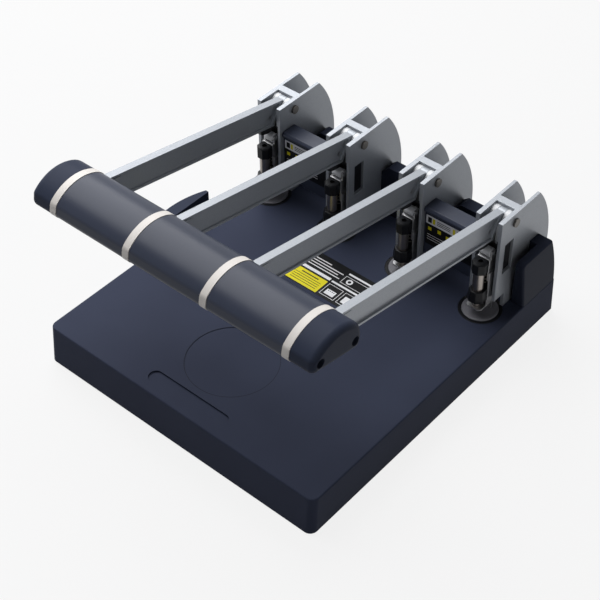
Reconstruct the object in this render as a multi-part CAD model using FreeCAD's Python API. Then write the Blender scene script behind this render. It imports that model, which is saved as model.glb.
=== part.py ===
# Lever-operated four-hole paper punch, in millimetres.
# Frame: +X to the right, +Y to the rear, +Z up; the origin is on the desk under the centre of the base.
import FreeCAD, Part
import math
import os

Vec = FreeCAD.Vector

# ---------------------------------------------------------------- driving dimensions
# Punching heads
HEAD_COUNT = 4
HOLE_PITCH = 80.0           # the standard four-hole spacing
HEAD_WIDTH = 26.4
CHEEK_THICK = 3.0
PAD_THICK = 1.3             # inner pads that thicken the cheeks at the pin
PAD_BELOW_PIVOT = 10.0
PIVOT_FROM_REAR = 55.8      # lever pin, ahead of the base's rear edge
PIVOT_HEIGHT = 92.0         # lever pin above the deck
HEAD_ABOVE_PIVOT = 9.4
CHEEK_BEFORE_PIVOT = 19.5   # front edge of the cheeks, ahead of the pin
LEG_BEFORE_PIVOT = 5.3      # front of the legs that stand behind the paper
THROAT_UNDER_CHEEK = 15.8
FIN_TIP_BEHIND_PIVOT = 35.0
FIN_RADIUS = 99.6
FIN_CENTRE_BEFORE_PIVOT = 42.8
FIN_TOE_BEHIND_PIVOT = 45.0
FIN_TOE_HEIGHT = 10.6
WINDOW_DEPTH = 12.6
WINDOW_HEIGHT = 32.3
WINDOW_BEFORE_PIVOT = 5.5   # centre of the window, ahead of the pin
WINDOW_BELOW_PIVOT = 33.8
WEB_BEHIND_PIVOT = 3.7      # bar that ties the cheeks together at the top
WEB_DEPTH = 7.4
WEB_THICK = 2.4
STOP_BEHIND_PIVOT = 8.5     # cross bar that the raised lever's heel rests on
STOP_DEPTH = 5.0
STOP_HEIGHT = 5.8
FOOT_BEHIND_PIVOT = 8.0     # front of the foot between the cheeks
FOOT_THICK = 4.0
BOLT_BEHIND_PIVOT = 18.0    # first of the two bolts that hold a head
BOLT_SPACING = 16.0
BOLT_RADIUS = 2.5
BOLT_HEAD_RADIUS = 4.6      # to the corners of the hexagon
BOLT_HEAD_HEIGHT = 3.5
BOLT_UNDER_DECK = 8.0
PIN_RADIUS = 3.0
PIN_HEAD_RADIUS = 4.0
PIN_HEAD_HEIGHT = 2.0
PIN_END = 1.0               # pin beyond its clip
CLIP_THICK = 1.2
CLIP_WIDTH = 1.6
SPACER_RADIUS = 7.5

# Base
SIDE_MARGIN = 28.5          # outer hole to the side of the base
BASE_DEPTH = 333.0
BASE_HEIGHT = 37.5          # underside of the housing to the deck
FOOT_PROUD = 1.5            # rubber feet below the housing
FRONT_DRAFT = 3.6
REAR_DRAFT = 2.0
SIDE_DRAFT = 0.6
FRONT_CORNER = 7.0
REAR_CORNER = 2.0
DECK_EDGE = 1.4             # rounded upper edge of the housing
SHELL_WALL = 3.0
DECK_THICK = 4.0
PLATE_THICK = 1.5           # steel bottom plate
FOOT_RADIUS = 9.0
FOOT_INSET = 22.0
RIB_THICK = 2.0
RIB_HEIGHT = 9.0
RIB_PITCH = 58.0            # ribs across the base, and the first one's distance from the front
RIB_SPACING = 60.0          # ribs along the base
RIB_COUNT = 3
PLATE_SCREW_INSET = 15.0    # from the side
PLATE_SCREW_FROM_END = 70.0
COVER_SCREW_FROM_REAR = 8.5
SCREW_RADIUS = 1.5
SCREW_HEAD_RADIUS = 2.8
SCREW_HEAD_HEIGHT = 1.2
PLATE_SCREW_LENGTH = 14.0
COVER_SCREW_LENGTH = 9.0
BOSS_RADIUS = 5.0
BEAM_BEHIND_PIVOT = 8.0
BEAM_DEPTH = 36.0
BEAM_HEIGHT = 15.0
BEAM_WALL = 3.0
BEAM_OVERHANG = 4.0         # beyond the outer heads
RECESS_LENGTH = 86.0        # finger recess in the front of the deck
RECESS_WIDTH = 13.0
RECESS_DEPTH = 1.4
RECESS_FROM_FRONT = 20.2
ROUNDEL_RADIUS = 40.0
ROUNDEL_FROM_FRONT = 73.5
ROUNDEL_DEPTH = 0.4
LABEL_WIDTH = 74.0
LABEL_DEPTH = 44.0
LABEL_BEFORE_PIVOT = 75.2   # centre of the label plate
LABEL_THICK = 0.6
LABEL_SUNK = 0.4
LABEL_CORNER = 1.0

# Punch units
LEVER_TRAVEL = 27.0         # degrees from raised to pressed
LEVER_LIFT = 10.95          # slope of the raised arms, in degrees
CAM_RADIUS = 17.2           # lever pin to the line of the rollers
BLADE_OFFSET = 9.2          # blade ahead of the rollers
HOLE_RADIUS = 3.0
BLADE_BORE_RADIUS = 2.2
SHANK_RADIUS = 4.6
SPIGOT_RADIUS = 3.4
SPIGOT_COVER = 2.0          # holder above the end of the spigot
BLADE_TIP_LENGTH = 13.6
EDGE_BEVEL = 1.5            # depth of the hollow-ground cutting edge
TIP_GAP = 0.3               # blade above the cutting disc at the end of its stroke
ROLLER_RADIUS = 4.2
ROLLER_LENGTH = 9.4
ROLLER_PIN_RADIUS = 1.5
ROLLER_BELOW_PIVOT = 26.7
EAR_HALF_WIDTH = 2.8
EAR_ABOVE_ROLLER = 2.6      # top of the ears above the roller's pin
CARRIAGE_WIDTH = 12.4
CARRIAGE_DEPTH = 10.0
CARRIAGE_ABOVE_BUSH = 0.9   # carriage legs above the bush at the end of the stroke
SHEET = 1.2                 # sheet steel of carriages and strippers
KNOB_ACROSS = 13.4          # octagonal blade holder, across its flats
KNOB_HEIGHT = 11.0
KNOB_BELOW_ROLLER = 5.3
KNOB_CHAMFER = 1.0
NECK_ABOVE_KNOB_FOOT = 1.5
NECK_BACK_GAP = 0.8
BUSH_HEIGHT = 11.0
BUSH_FOOT = 3.0
BUSH_ABOVE_STRIPPER = 7.2
BUSH_FLARE = 1.3
SPRING_RADIUS = 3.6
SPRING_WIRE = 1.0
SPRING_TURNS = 4
PAPER_MARGIN = 12.0         # hole centre to paper edge
STRIPPER_TOE = 5.8          # stripper foot ahead of the blade
STRIPPER_CORNER = 2.5
STRIPPER_ABOVE_CARRIAGE_FOOT = 9.0
BLOCK_DEPTH = 13.4
BLOCK_BELOW_PIVOT = 16.0
BLOCK_SLOT = 18.0           # depth of the slot for the cam
BLOCK_ABOVE_BUSH_FOOT = 5.0
SLOT_GAP = 1.3              # slot wider than the arm, each side

# Cutting discs
DISC_RADIUS = 16.0
DISC_THICK = 5.0
DISC_PROUD = 1.0
DISC_OFFSET = 6.9           # disc centre behind the blade
DISC_POST_RADIUS = 2.5
DISC_POST_HEIGHT = 2.5
DISC_CHAMFER = 0.5
SEAT_RADIUS = 19.2
SEAT_THICK = 2.5
CUP_WALL = 2.0

# Lever arms and cams
ARM_WIDTH = 7.2
ARM_TOP = 7.2               # top of the arm above the line from the pin
ARM_DEPTH = 23.9
ARM_FLANGE = 2.1
ARM_WEB = 2.0
ARM_RECESS = 2.0            # recess on the right; the one on the left is the deeper
ARM_BACK = 5.0              # end of the top flange, ahead of the pin
ARM_TOE = 13.6              # end of the lower flange, ahead of the pin
ARM_THROAT = 10.6           # undercut behind the toe
ARM_THROAT_LOW = 3.3
POCKET_START = 10.2         # recesses begin this far from the pin
POCKET_LEAN = 2.1
EYE_RADIUS = 7.5
HEEL_LENGTH = 13.0          # heel that stops the raised lever
HEEL_UNDER = 3.9            # flat under the heel, below the pin
CAM_THICK = 4.0
CAM_BACK = 10.5             # cam plate behind its nose, ahead of the pin
CAM_TOP = 4.6
CAM_FRONT = 24.0
CAM_SHOULDER = 30.0
CAM_SHOULDER_LOW = 8.0
CAM_HEEL_LOW = 14.0
CAM_SLOT_END = 34.0         # slot in the lower flange for the cam's nose
NOSE_STEPS = 8
RIVET_RADIUS = 2.0
RIVET_HEAD_RADIUS = 2.8
RIVET_HEAD_HEIGHT = 1.2
RIVETS = ((13.6, 0.5), (18.2, -7.8))
TONGUE_LENGTH = 16.0        # tongue inside the handle's core
SHOULDER_LENGTH = 14.0

# Handle
HANDLE_END = 25.5           # end face beyond the outer arm
HANDLE_CENTRE = 247.8       # handle section centre from the pin, along the arms
HANDLE_HALF_WIDTH = 27.8
HANDLE_BASE = 9.1           # flat underside below the arm axis
HANDLE_CORNER = 6.0
HANDLE_FRONT_ARC = 6.0      # radii of the three arcs of the rounded top
HANDLE_CROWN_ARC = 37.0
HANDLE_BACK_ARC = 19.0
HANDLE_FRONT_SPRING = 1.3   # the front and back arcs begin here, above the arm axis
HANDLE_BACK_SPRING = 0.1
HANDLE_WALL = 2.6
RING_WIDTH = 6.6
RING_PROUD = 0.35
CORE_WIDTH = 26.0
CORE_HEIGHT = 12.0
CORE_WALL = 2.0
CORE_END = 8.0              # core short of the handle's end face
ROD_RADIUS = 2.5
ROD_SPACING = 39.2
ROD_BOSS = 2.0
CAP_SEAT_RADIUS = 4.0
CAP_SCREW_RADIUS = 3.4
CAP_SCREW_SINK = 5.0
CAP_SCREW_HEAD = 1.5
CAP_SCREW_SHANK = 4.0
SOCKET_RADIUS = 1.6
SOCKET_DEPTH = 1.0

# Rear cover and bridge covers
COVER_HEIGHT = 53.5
COVER_FRONT_BEHIND_PIVOT = 4.5
COVER_FRONT_LEAN = 8.0
COVER_WALL_BEHIND_PIVOT = 27.0
COVER_BACK_FOOT = 0.6       # back of the cover in from the deck's rear edge: at the deck,
COVER_BACK_MID = 4.6        # half way up
COVER_BACK_TOP = 13.0       # and at the top
COVER_CORNER = 4.0
COVER_EDGE = 2.2
COVER_WALL = 2.5
COVER_NOTCH = 8.0           # bevelled corners of the wall beside the heads
WING_GAP = 2.2              # outer head to the foot of the wing
WING_LEAN = 5.1
SILL_HEIGHT = 10.0
BRIDGE_FRONT_BEHIND_CHEEK = 1.9
BRIDGE_DEPTH = 17.0
BRIDGE_BELOW_HEAD = 25.4
BRIDGE_HEIGHT = 53.0
BRIDGE_LIP = 4.5
BRIDGE_LIP_PROUD = 2.4
BRIDGE_BEVEL = 2.0
BRIDGE_WALL = 2.5

# Side guide
GUIDE_LENGTH = 78.0
GUIDE_BEFORE_PIVOT = 112.0
GUIDE_BULGE = 12.5
GUIDE_END_WIDTH = 4.2
GUIDE_ABOVE_DECK = 20.0
GUIDE_BELOW_DECK = 16.0
GUIDE_EDGE = 1.5
BAR_LENGTH = 104.0
BAR_WIDTH = 14.0
BAR_THICK = 3.0
BAR_BELOW_DECK = 9.0
BAR_IN_GUIDE = 5.0
BAR_CHANNEL_WALL = 3.0

# Clearances
RUNNING = 0.05              # radial, pin or shank in its bore
SLIDING = 0.2               # flat sliding faces of neighbouring parts
LOOSE = 0.3                 # curved neighbours that don't guide each other
SNUG = 0.1                  # parts fixed to each other

# ---------------------------------------------------------------- derived places
FRONT = -BASE_DEPTH / 2
REAR = BASE_DEPTH / 2
HALF = (HEAD_COUNT - 1) * HOLE_PITCH / 2 + SIDE_MARGIN
DECK = FOOT_PROUD + BASE_HEIGHT
DECK_UNDER = DECK - DECK_THICK
HEADS = [(i - (HEAD_COUNT - 1) / 2) * HOLE_PITCH for i in range(HEAD_COUNT)]
HEAD_HALF = HEAD_WIDTH / 2
HEAD_INNER = HEAD_HALF - CHEEK_THICK
PIVOT_Y = REAR - PIVOT_FROM_REAR
PIVOT_Z = DECK + PIVOT_HEIGHT
HEAD_TOP = PIVOT_Z + HEAD_ABOVE_PIVOT
CHEEK_FRONT = PIVOT_Y - CHEEK_BEFORE_PIVOT
LEG_FRONT = PIVOT_Y - LEG_BEFORE_PIVOT
LABEL_Y = PIVOT_Y - LABEL_BEFORE_PIVOT
GUIDE_Y = PIVOT_Y - GUIDE_BEFORE_PIVOT
STROKE = CAM_RADIUS * math.radians(LEVER_TRAVEL)
ROLLER_Y = PIVOT_Y - CAM_RADIUS
ROLLER_Z = PIVOT_Z - ROLLER_BELOW_PIVOT
BLADE_Y = ROLLER_Y - BLADE_OFFSET
DISC_Y = BLADE_Y + DISC_OFFSET
DISC_TOP = DECK + DISC_PROUD
DISC_BOTTOM = DISC_TOP - DISC_THICK
CUP_FLOOR = DISC_BOTTOM - SLIDING
CUP_RADIUS = SEAT_RADIUS + CUP_WALL
BLADE_TIP = DISC_TOP + TIP_GAP + STROKE
SHANK_LOW = BLADE_TIP + BLADE_TIP_LENGTH
STRIPPER_BOTTOM = DISC_TOP + STROKE
STRIPPER_TOP = STRIPPER_BOTTOM + SHEET
PAPER_STOP = BLADE_Y + PAPER_MARGIN
BUSH_BOTTOM = STRIPPER_TOP + BUSH_ABOVE_STRIPPER
BUSH_TOP = BUSH_BOTTOM + BUSH_HEIGHT
CARRIAGE_FRONT = ROLLER_Y - CARRIAGE_DEPTH / 2
CARRIAGE_BACK = ROLLER_Y + CARRIAGE_DEPTH / 2
CARRIAGE_FOOT = BUSH_TOP + STROKE + CARRIAGE_ABOVE_BUSH
CARRIAGE_TOP = ROLLER_Z - ROLLER_RADIUS - LOOSE
KNOB_TOP = ROLLER_Z - KNOB_BELOW_ROLLER
KNOB_BOTTOM = KNOB_TOP - KNOB_HEIGHT
NECK_BOTTOM = KNOB_BOTTOM + NECK_ABOVE_KNOB_FOOT
NECK_HALF = CARRIAGE_WIDTH / 2 - SHEET - SLIDING
CHANNEL_HALF = CARRIAGE_WIDTH / 2 + SLIDING
CHANNEL_TOP = CARRIAGE_FOOT + STRIPPER_ABOVE_CARRIAGE_FOOT
BLOCK_FRONT = CARRIAGE_BACK + SLIDING
BLOCK_TOP = PIVOT_Z - BLOCK_BELOW_PIVOT
ARM_HALF = ARM_WIDTH / 2
ARM_LOW = ARM_TOP - ARM_DEPTH
WEB_RIGHT = ARM_HALF - ARM_RECESS
WEB_LEFT = WEB_RIGHT - ARM_WEB
CAM_LEFT = WEB_LEFT - CAM_THICK
ARM_REACH = HANDLE_CENTRE - HANDLE_HALF_WIDTH - RING_PROUD - SNUG
HANDLE_X = HEADS[-1] + HANDLE_END
CAP_ROUND = 0.9 * min(HANDLE_FRONT_ARC, HANDLE_CORNER)
CORE_LOW = -HANDLE_BASE + HANDLE_WALL + SNUG + 0.5
CORE_HIGH = CORE_LOW + CORE_HEIGHT
CORE_BACK = HANDLE_CENTRE - CORE_WIDTH / 2
TONGUE_TOP = CORE_HIGH - CORE_WALL - SNUG
TONGUE_LOW = CORE_LOW + CORE_WALL + SNUG
COVER_TOP = DECK + COVER_HEIGHT
COVER_HALF = HALF - SIDE_DRAFT
COVER_FRONT = PIVOT_Y + COVER_FRONT_BEHIND_PIVOT
COVER_WALL_Y = PIVOT_Y + COVER_WALL_BEHIND_PIVOT
DECK_REAR = REAR - REAR_DRAFT
WING_FOOT = HEADS[-1] + HEAD_HALF + WING_GAP
SILL_FRONT = PIVOT_Y + FIN_TOE_BEHIND_PIVOT + LOOSE
BRIDGE_TOP = HEAD_TOP - BRIDGE_BELOW_HEAD


# ---------------------------------------------------------------- small helpers
def box(x0, x1, y0, y1, z0, z1):
    return Part.makeBox(x1 - x0, y1 - y0, z1 - z0, Vec(x0, y0, z0))


def rod(radius, x, y, z0, z1):
    """Upright cylinder."""
    return Part.makeCylinder(radius, z1 - z0, Vec(x, y, z0))


def cross_rod(radius, x0, x1, y, z):
    """Cylinder along X."""
    return Part.makeCylinder(radius, x1 - x0, Vec(x0, y, z), Vec(1, 0, 0))


def prism(points, direction):
    """Extrudes the closed outline through some points."""
    return Part.Face(Part.makePolygon(points + points[:1])).extrude(direction)


def side_prism(x0, x1, outline):
    """Extrudes a Y-Z outline from x0 to x1."""
    return prism([Vec(x0, y, z) for y, z in outline], Vec(x1 - x0, 0, 0))


def plan_prism(z0, z1, outline):
    """Extrudes an X-Y outline from z0 to z1."""
    return prism([Vec(x, y, z0) for x, y in outline], Vec(0, 0, z1 - z0))


def front_prism(y0, y1, outline):
    """Extrudes an X-Z outline from y0 to y1."""
    return prism([Vec(x, y0, z) for x, z in outline], Vec(0, y1 - y0, 0))


def lever_prism(x0, x1, outline):
    """Extrudes an outline in lever terms: u from the pin towards the handle, v above the arm axis."""
    return side_prism(x0, x1, [(PIVOT_Y - u, PIVOT_Z + v) for u, v in outline])


def lever_box(x0, x1, u0, u1, v0, v1):
    return box(x0, x1, PIVOT_Y - u1, PIVOT_Y - u0, PIVOT_Z + v0, PIVOT_Z + v1)


def lever_rod(radius, x0, x1, u, v):
    return cross_rod(radius, x0, x1, PIVOT_Y - u, PIVOT_Z + v)


def raised(shape):
    """Turns a lever part from level arms to the raised rest position."""
    shape.rotate(Vec(0, PIVOT_Y, PIVOT_Z), Vec(1, 0, 0), -LEVER_LIFT)
    return shape


def rounded_block(x0, x1, y0, y1, radius, z0, z1):
    """Box with rounded upright edges."""
    block = box(x0, x1, y0, y1, z0, z1)
    return block.makeFillet(radius, upright_edges(block))


def octagon(x, y, across):
    """Corner points of a regular octagon with flats square to the axes."""
    r = across / 2 / math.cos(math.pi / 8)
    turns = [math.pi / 8 + i * math.pi / 4 for i in range(8)]
    return [(x + r * math.cos(t), y + r * math.sin(t)) for t in turns]


def hexagon(x, y, radius):
    turns = [i * math.pi / 3 for i in range(6)]
    return [(x + radius * math.cos(t), y + radius * math.sin(t)) for t in turns]


def edges_where(shape, test):
    """Edges of a shape whose every vertex passes the test."""
    return [e for e in shape.Edges if all(test(v.Point) for v in e.Vertexes)]


def upright_edges(shape):
    return [e for e in shape.Edges if len(e.Vertexes) == 2 and abs(e.Vertexes[0].Z - e.Vertexes[1].Z) > 0.1]


def joined(shapes):
    """One solid from shapes that touch or overlap."""
    whole = shapes[0]
    for other in shapes[1:]:
        whole = whole.fuse(other)
    return whole.removeSplitter()


def group(shapes):
    return Part.makeCompound(shapes)


def for_heads(make):
    """A group of one solid, or list of solids, for each head."""
    made = []
    for x in HEADS:
        result = make(x)
        made += result if isinstance(result, list) else [result]
    return group(made)


def gaps_between_heads(clear):
    """Spans of x between neighbouring heads, clear of each side."""
    return [(a + clear, b - clear) for a, b in zip(HEADS, HEADS[1:])]


# ---------------------------------------------------------------- base
def housing_hull(inset, z0, z1):
    """Drafted outer form of the base between two heights, moved in by inset."""
    def plan(z):
        rise = (z - FOOT_PROUD) / BASE_HEIGHT
        front = FRONT + FRONT_DRAFT * rise + inset
        rear = REAR - REAR_DRAFT * rise - inset
        return HALF - SIDE_DRAFT * rise - inset, front, rear
    x0, front0, rear0 = plan(z0)
    x1, front1, rear1 = plan(z1)
    hull = Part.makeWedge(-x0, z0, -rear0, -rear1, -x1, x0, z1, -front0, -front1, x1)
    hull.rotate(Vec(0, 0, 0), Vec(1, 0, 0), 90)
    for side, radius in ((-1, FRONT_CORNER), (1, REAR_CORNER)):
        corners = [e for e in upright_edges(hull) if side * e.CenterOfMass.y > 0]
        hull = hull.makeFillet(max(radius - inset, RUNNING), corners)
    return hull


def plate_screw_places():
    x = HALF - PLATE_SCREW_INSET
    ys = (FRONT + PLATE_SCREW_FROM_END, REAR - PLATE_SCREW_FROM_END)
    return [(side * x, y) for side in (-1, 1) for y in ys]


def cover_screw_places():
    return [((a + b) / 2, REAR - COVER_SCREW_FROM_REAR) for a, b in gaps_between_heads(0)]


def head_bolt_places(x):
    first = PIVOT_Y + BOLT_BEHIND_PIVOT
    return [(x, first), (x, first + BOLT_SPACING)]


def head_bolt_holes(heads):
    places = [place for x in heads for place in head_bolt_places(x)]
    return [rod(BOLT_RADIUS + SNUG, x, y, 0, DECK + FOOT_THICK + 1) for x, y in places]


def bar_channel(grow):
    """Room of the side guide's bar under the deck, widened by grow."""
    low = DECK - BAR_BELOW_DECK - BAR_THICK
    half = BAR_WIDTH / 2 + grow
    return -HALF, -HALF + BAR_LENGTH, GUIDE_Y - half, GUIDE_Y + half, low - grow, low + BAR_THICK + grow


def deck_ribs():
    """Ribs, screw bosses, disc cups and the guide bar's channel under the deck."""
    top = DECK_UNDER + 1
    low = DECK_UNDER - RIB_HEIGHT
    t = RIB_THICK / 2
    side = HALF - SHELL_WALL / 2
    ribs = []
    for i in range(RIB_COUNT):
        y = FRONT + RIB_PITCH * (i + 1)
        ribs.append(box(-side, side, y - t, y + t, low, top))
    for i in range(RIB_COUNT + 1):
        x = RIB_SPACING * (i - RIB_COUNT / 2)
        ribs.append(box(x - t, x + t, FRONT + SHELL_WALL, DISC_Y - CUP_RADIUS, low, top))
    ribs += [rod(BOSS_RADIUS, x, y, FOOT_PROUD + PLATE_THICK, top) for x, y in plate_screw_places()]
    ribs += [rod(CUP_RADIUS, x, DISC_Y, CUP_FLOOR - CUP_WALL, top) for x in HEADS]
    x0, x1, y0, y1, z0, z1 = bar_channel(BAR_CHANNEL_WALL)
    channel = box(x0 + SHELL_WALL / 2, x1, y0, y1, z0, top)
    y0 += BAR_CHANNEL_WALL
    y1 -= BAR_CHANNEL_WALL
    ribs.append(channel.cut(box(x0, x1 + 1, y0, y1, z1, top + 1)))
    return ribs


def deck_cuts():
    """Recesses and holes in the deck and the slot for the guide bar."""
    over = DECK + 5
    x0, x1, y0, y1, z0, z1 = bar_channel(SLIDING)
    cuts = [box(x0 - 5, x1 + 1, y0, y1, z0, z1)]
    x = RECESS_LENGTH / 2
    y = FRONT + RECESS_FROM_FRONT
    half = RECESS_WIDTH / 2
    cuts.append(rounded_block(-x, x, y - half, y + half, half - 0.01, DECK - RECESS_DEPTH, over))
    cuts.append(rod(ROUNDEL_RADIUS, 0, FRONT + ROUNDEL_FROM_FRONT, DECK - ROUNDEL_DEPTH, over))
    x = LABEL_WIDTH / 2 + SNUG
    y = LABEL_DEPTH / 2 + SNUG
    cuts.append(box(-x, x, LABEL_Y - y, LABEL_Y + y, DECK - LABEL_SUNK, over))
    cuts += [rod(SEAT_RADIUS + SNUG, x, DISC_Y, DECK - SEAT_THICK, over) for x in HEADS]
    cuts += [rod(DISC_RADIUS + LOOSE, x, DISC_Y, CUP_FLOOR, over) for x in HEADS]
    cuts += head_bolt_holes(HEADS)
    bore = SCREW_RADIUS + SNUG
    cuts += [rod(bore, x, y, 0, FOOT_PROUD + PLATE_SCREW_LENGTH + 1) for x, y in plate_screw_places()]
    cuts += [rod(bore, x, y, DECK_UNDER - 1, over) for x, y in cover_screw_places()]
    return cuts


def base_housing():
    body = housing_hull(0, FOOT_PROUD, DECK)
    body = body.makeFillet(DECK_EDGE, edges_where(body, lambda p: p.z > DECK - 0.01))
    body = body.cut(housing_hull(SHELL_WALL, FOOT_PROUD, DECK_UNDER))
    body = joined([body] + deck_ribs()).cut(group(deck_cuts()))
    posts = [rod(DISC_POST_RADIUS, x, DISC_Y, CUP_FLOOR - 1, CUP_FLOOR + DISC_POST_HEIGHT) for x in HEADS]
    return joined([body] + posts)


def base_plate():
    plate = housing_hull(SHELL_WALL + LOOSE, FOOT_PROUD, FOOT_PROUD + PLATE_THICK)
    return plate.cut(group([rod(SCREW_RADIUS + SNUG, x, y, 0, 10) for x, y in plate_screw_places()]))


def rubber_feet():
    """One foot near each corner and one in the middle of the bottom plate."""
    x = HALF - FOOT_INSET
    places = [(side * x, y) for side in (-1, 1) for y in (FRONT + FOOT_INSET, REAR - FOOT_INSET)]
    return group([rod(FOOT_RADIUS, x, y, 0, FOOT_PROUD) for x, y in places + [(0, 0)]])


def screw_up(x, y, seat, length):
    """Screw driven from below, with its head under the seat."""
    head = rod(SCREW_HEAD_RADIUS, x, y, seat - SCREW_HEAD_HEIGHT, seat)
    return head.fuse(rod(SCREW_RADIUS, x, y, seat, seat + length))


def housing_screws():
    plate = [screw_up(x, y, FOOT_PROUD, PLATE_SCREW_LENGTH) for x, y in plate_screw_places()]
    cover = [screw_up(x, y, DECK_UNDER, COVER_SCREW_LENGTH) for x, y in cover_screw_places()]
    return group(plate + cover)


def base_beam():
    """Steel channel under the deck that ties the heads together."""
    y0 = PIVOT_Y + BEAM_BEHIND_PIVOT
    y1 = y0 + BEAM_DEPTH
    x1 = HEADS[-1] + HEAD_HALF + BEAM_OVERHANG
    low = DECK_UNDER - BEAM_HEIGHT
    beam = box(-x1, x1, y0, y1, low, DECK_UNDER)
    beam = beam.cut(box(-x1 - 1, x1 + 1, y0 + BEAM_WALL, y1 - BEAM_WALL, low - 1, DECK_UNDER - BEAM_WALL))
    return beam.cut(group(head_bolt_holes(HEADS)))


def disc_seat(x):
    ring = rod(SEAT_RADIUS, x, DISC_Y, DECK - SEAT_THICK, DECK)
    return ring.cut(rod(DISC_RADIUS + LOOSE, x, DISC_Y, 0, DECK + 5))


def cutting_disc(x):
    disc = rod(DISC_RADIUS, x, DISC_Y, DISC_BOTTOM, DISC_TOP)
    disc = disc.makeChamfer(DISC_CHAMFER, edges_where(disc, lambda p: p.z > DISC_TOP - 0.01))
    post = rod(DISC_POST_RADIUS + RUNNING, x, DISC_Y, 0, CUP_FLOOR + DISC_POST_HEIGHT + LOOSE)
    return disc.cut(post)


def deck_plate():
    x = LABEL_WIDTH / 2
    y = LABEL_DEPTH / 2
    z = DECK - LABEL_SUNK
    return rounded_block(-x, x, LABEL_Y - y, LABEL_Y + y, LABEL_CORNER, z, z + LABEL_THICK)


# ---------------------------------------------------------------- heads
def cheek_outline_face(x):
    """Side outline of a cheek: the front edge, the throat for the paper, the foot and the curved fin."""
    cy = PIVOT_Y - FIN_CENTRE_BEFORE_PIVOT
    reach = FIN_TIP_BEHIND_PIVOT + FIN_CENTRE_BEFORE_PIVOT
    cz = HEAD_TOP - math.sqrt(FIN_RADIUS ** 2 - reach ** 2)

    def on_arc(z):
        return Vec(x, cy + math.sqrt(FIN_RADIUS ** 2 - (z - cz) ** 2), z)
    tip = Vec(x, PIVOT_Y + FIN_TIP_BEHIND_PIVOT, HEAD_TOP)
    toe_z = DECK + FIN_TOE_HEIGHT
    toe_y = PIVOT_Y + FIN_TOE_BEHIND_PIVOT
    low_z = DECK + THROAT_UNDER_CHEEK
    arc = Part.Arc(tip, on_arc((HEAD_TOP + toe_z) / 2), on_arc(toe_z)).toShape()
    line = [on_arc(toe_z), Vec(x, toe_y, toe_z), Vec(x, toe_y, DECK), Vec(x, LEG_FRONT, DECK),
            Vec(x, LEG_FRONT, low_z), Vec(x, CHEEK_FRONT, low_z), Vec(x, CHEEK_FRONT, HEAD_TOP), tip]
    sides = [Part.LineSegment(a, b).toShape() for a, b in zip(line, line[1:])]
    return Part.Face(Part.Wire([arc] + sides))


def head_frame(x):
    """Die-cast head: two cheeks, the pads at the pin, the top web, a stop bar and the foot."""
    parts = []
    foot_y = PIVOT_Y + FOOT_BEHIND_PIVOT
    for side in (-1, 1):
        parts.append(cheek_outline_face(x + side * HEAD_HALF).extrude(Vec(-side * CHEEK_THICK, 0, 0)))
        x0, x1 = sorted((x + side * HEAD_INNER, x + side * (HEAD_INNER - PAD_THICK)))
        parts.append(box(x0, x1, CHEEK_FRONT, foot_y, PIVOT_Z - PAD_BELOW_PIVOT, HEAD_TOP))
    x0 = x - HEAD_INNER - CHEEK_THICK / 2
    x1 = x + HEAD_INNER + CHEEK_THICK / 2
    web_y = PIVOT_Y + WEB_BEHIND_PIVOT
    stop_y = PIVOT_Y + STOP_BEHIND_PIVOT
    stop_top = PIVOT_Z - HEEL_UNDER - LOOSE
    parts.append(box(x0, x1, web_y, web_y + WEB_DEPTH, HEAD_TOP - WEB_THICK, HEAD_TOP))
    parts.append(box(x0, x1, stop_y, stop_y + STOP_DEPTH, stop_top - STOP_HEIGHT, stop_top))
    parts.append(box(x0, x1, foot_y, PIVOT_Y + FIN_TOE_BEHIND_PIVOT, DECK, DECK + FOOT_THICK))
    out = HEAD_HALF + 1
    window_y = PIVOT_Y - WINDOW_BEFORE_PIVOT
    window_z = PIVOT_Z - WINDOW_BELOW_PIVOT
    window = box(x - out, x + out, window_y - WINDOW_DEPTH / 2, window_y + WINDOW_DEPTH / 2,
                 window_z - WINDOW_HEIGHT / 2, window_z + WINDOW_HEIGHT / 2)
    bore = cross_rod(PIN_RADIUS + RUNNING, x - out, x + out, PIVOT_Y, PIVOT_Z)
    return joined(parts).cut(group([window, bore] + head_bolt_holes([x])))


def head_bolt(x, y):
    z = DECK + FOOT_THICK
    head = plan_prism(z, z + BOLT_HEAD_HEIGHT, hexagon(x, y, BOLT_HEAD_RADIUS))
    return head.fuse(rod(BOLT_RADIUS, x, y, DECK - BOLT_UNDER_DECK, z))


def fulcrum_pin(x):
    """Headed pin through both cheeks; the clip holds its other end."""
    right = x + HEAD_HALF
    pin = cross_rod(PIN_RADIUS, x - HEAD_HALF - CLIP_THICK - PIN_END, right, PIVOT_Y, PIVOT_Z)
    return pin.fuse(cross_rod(PIN_HEAD_RADIUS, right, right + PIN_HEAD_HEIGHT, PIVOT_Y, PIVOT_Z))


def pin_clip(x):
    left = x - HEAD_HALF - CLIP_THICK
    ring = cross_rod(PIN_RADIUS + CLIP_WIDTH, left, left + CLIP_THICK, PIVOT_Y, PIVOT_Z)
    return ring.cut(cross_rod(PIN_RADIUS, left - 1, left + CLIP_THICK + 1, PIVOT_Y, PIVOT_Z))


def pin_spacers(x):
    """Nylon spacers that keep the arm in the middle of its head."""
    spacers = []
    for side in (-1, 1):
        x0, x1 = sorted((x + side * (ARM_HALF + SLIDING), x + side * (HEAD_INNER - PAD_THICK)))
        ring = cross_rod(SPACER_RADIUS, x0, x1, PIVOT_Y, PIVOT_Z)
        spacers.append(ring.cut(cross_rod(PIN_RADIUS + RUNNING, x0 - 1, x1 + 1, PIVOT_Y, PIVOT_Z)))
    return spacers


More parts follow.
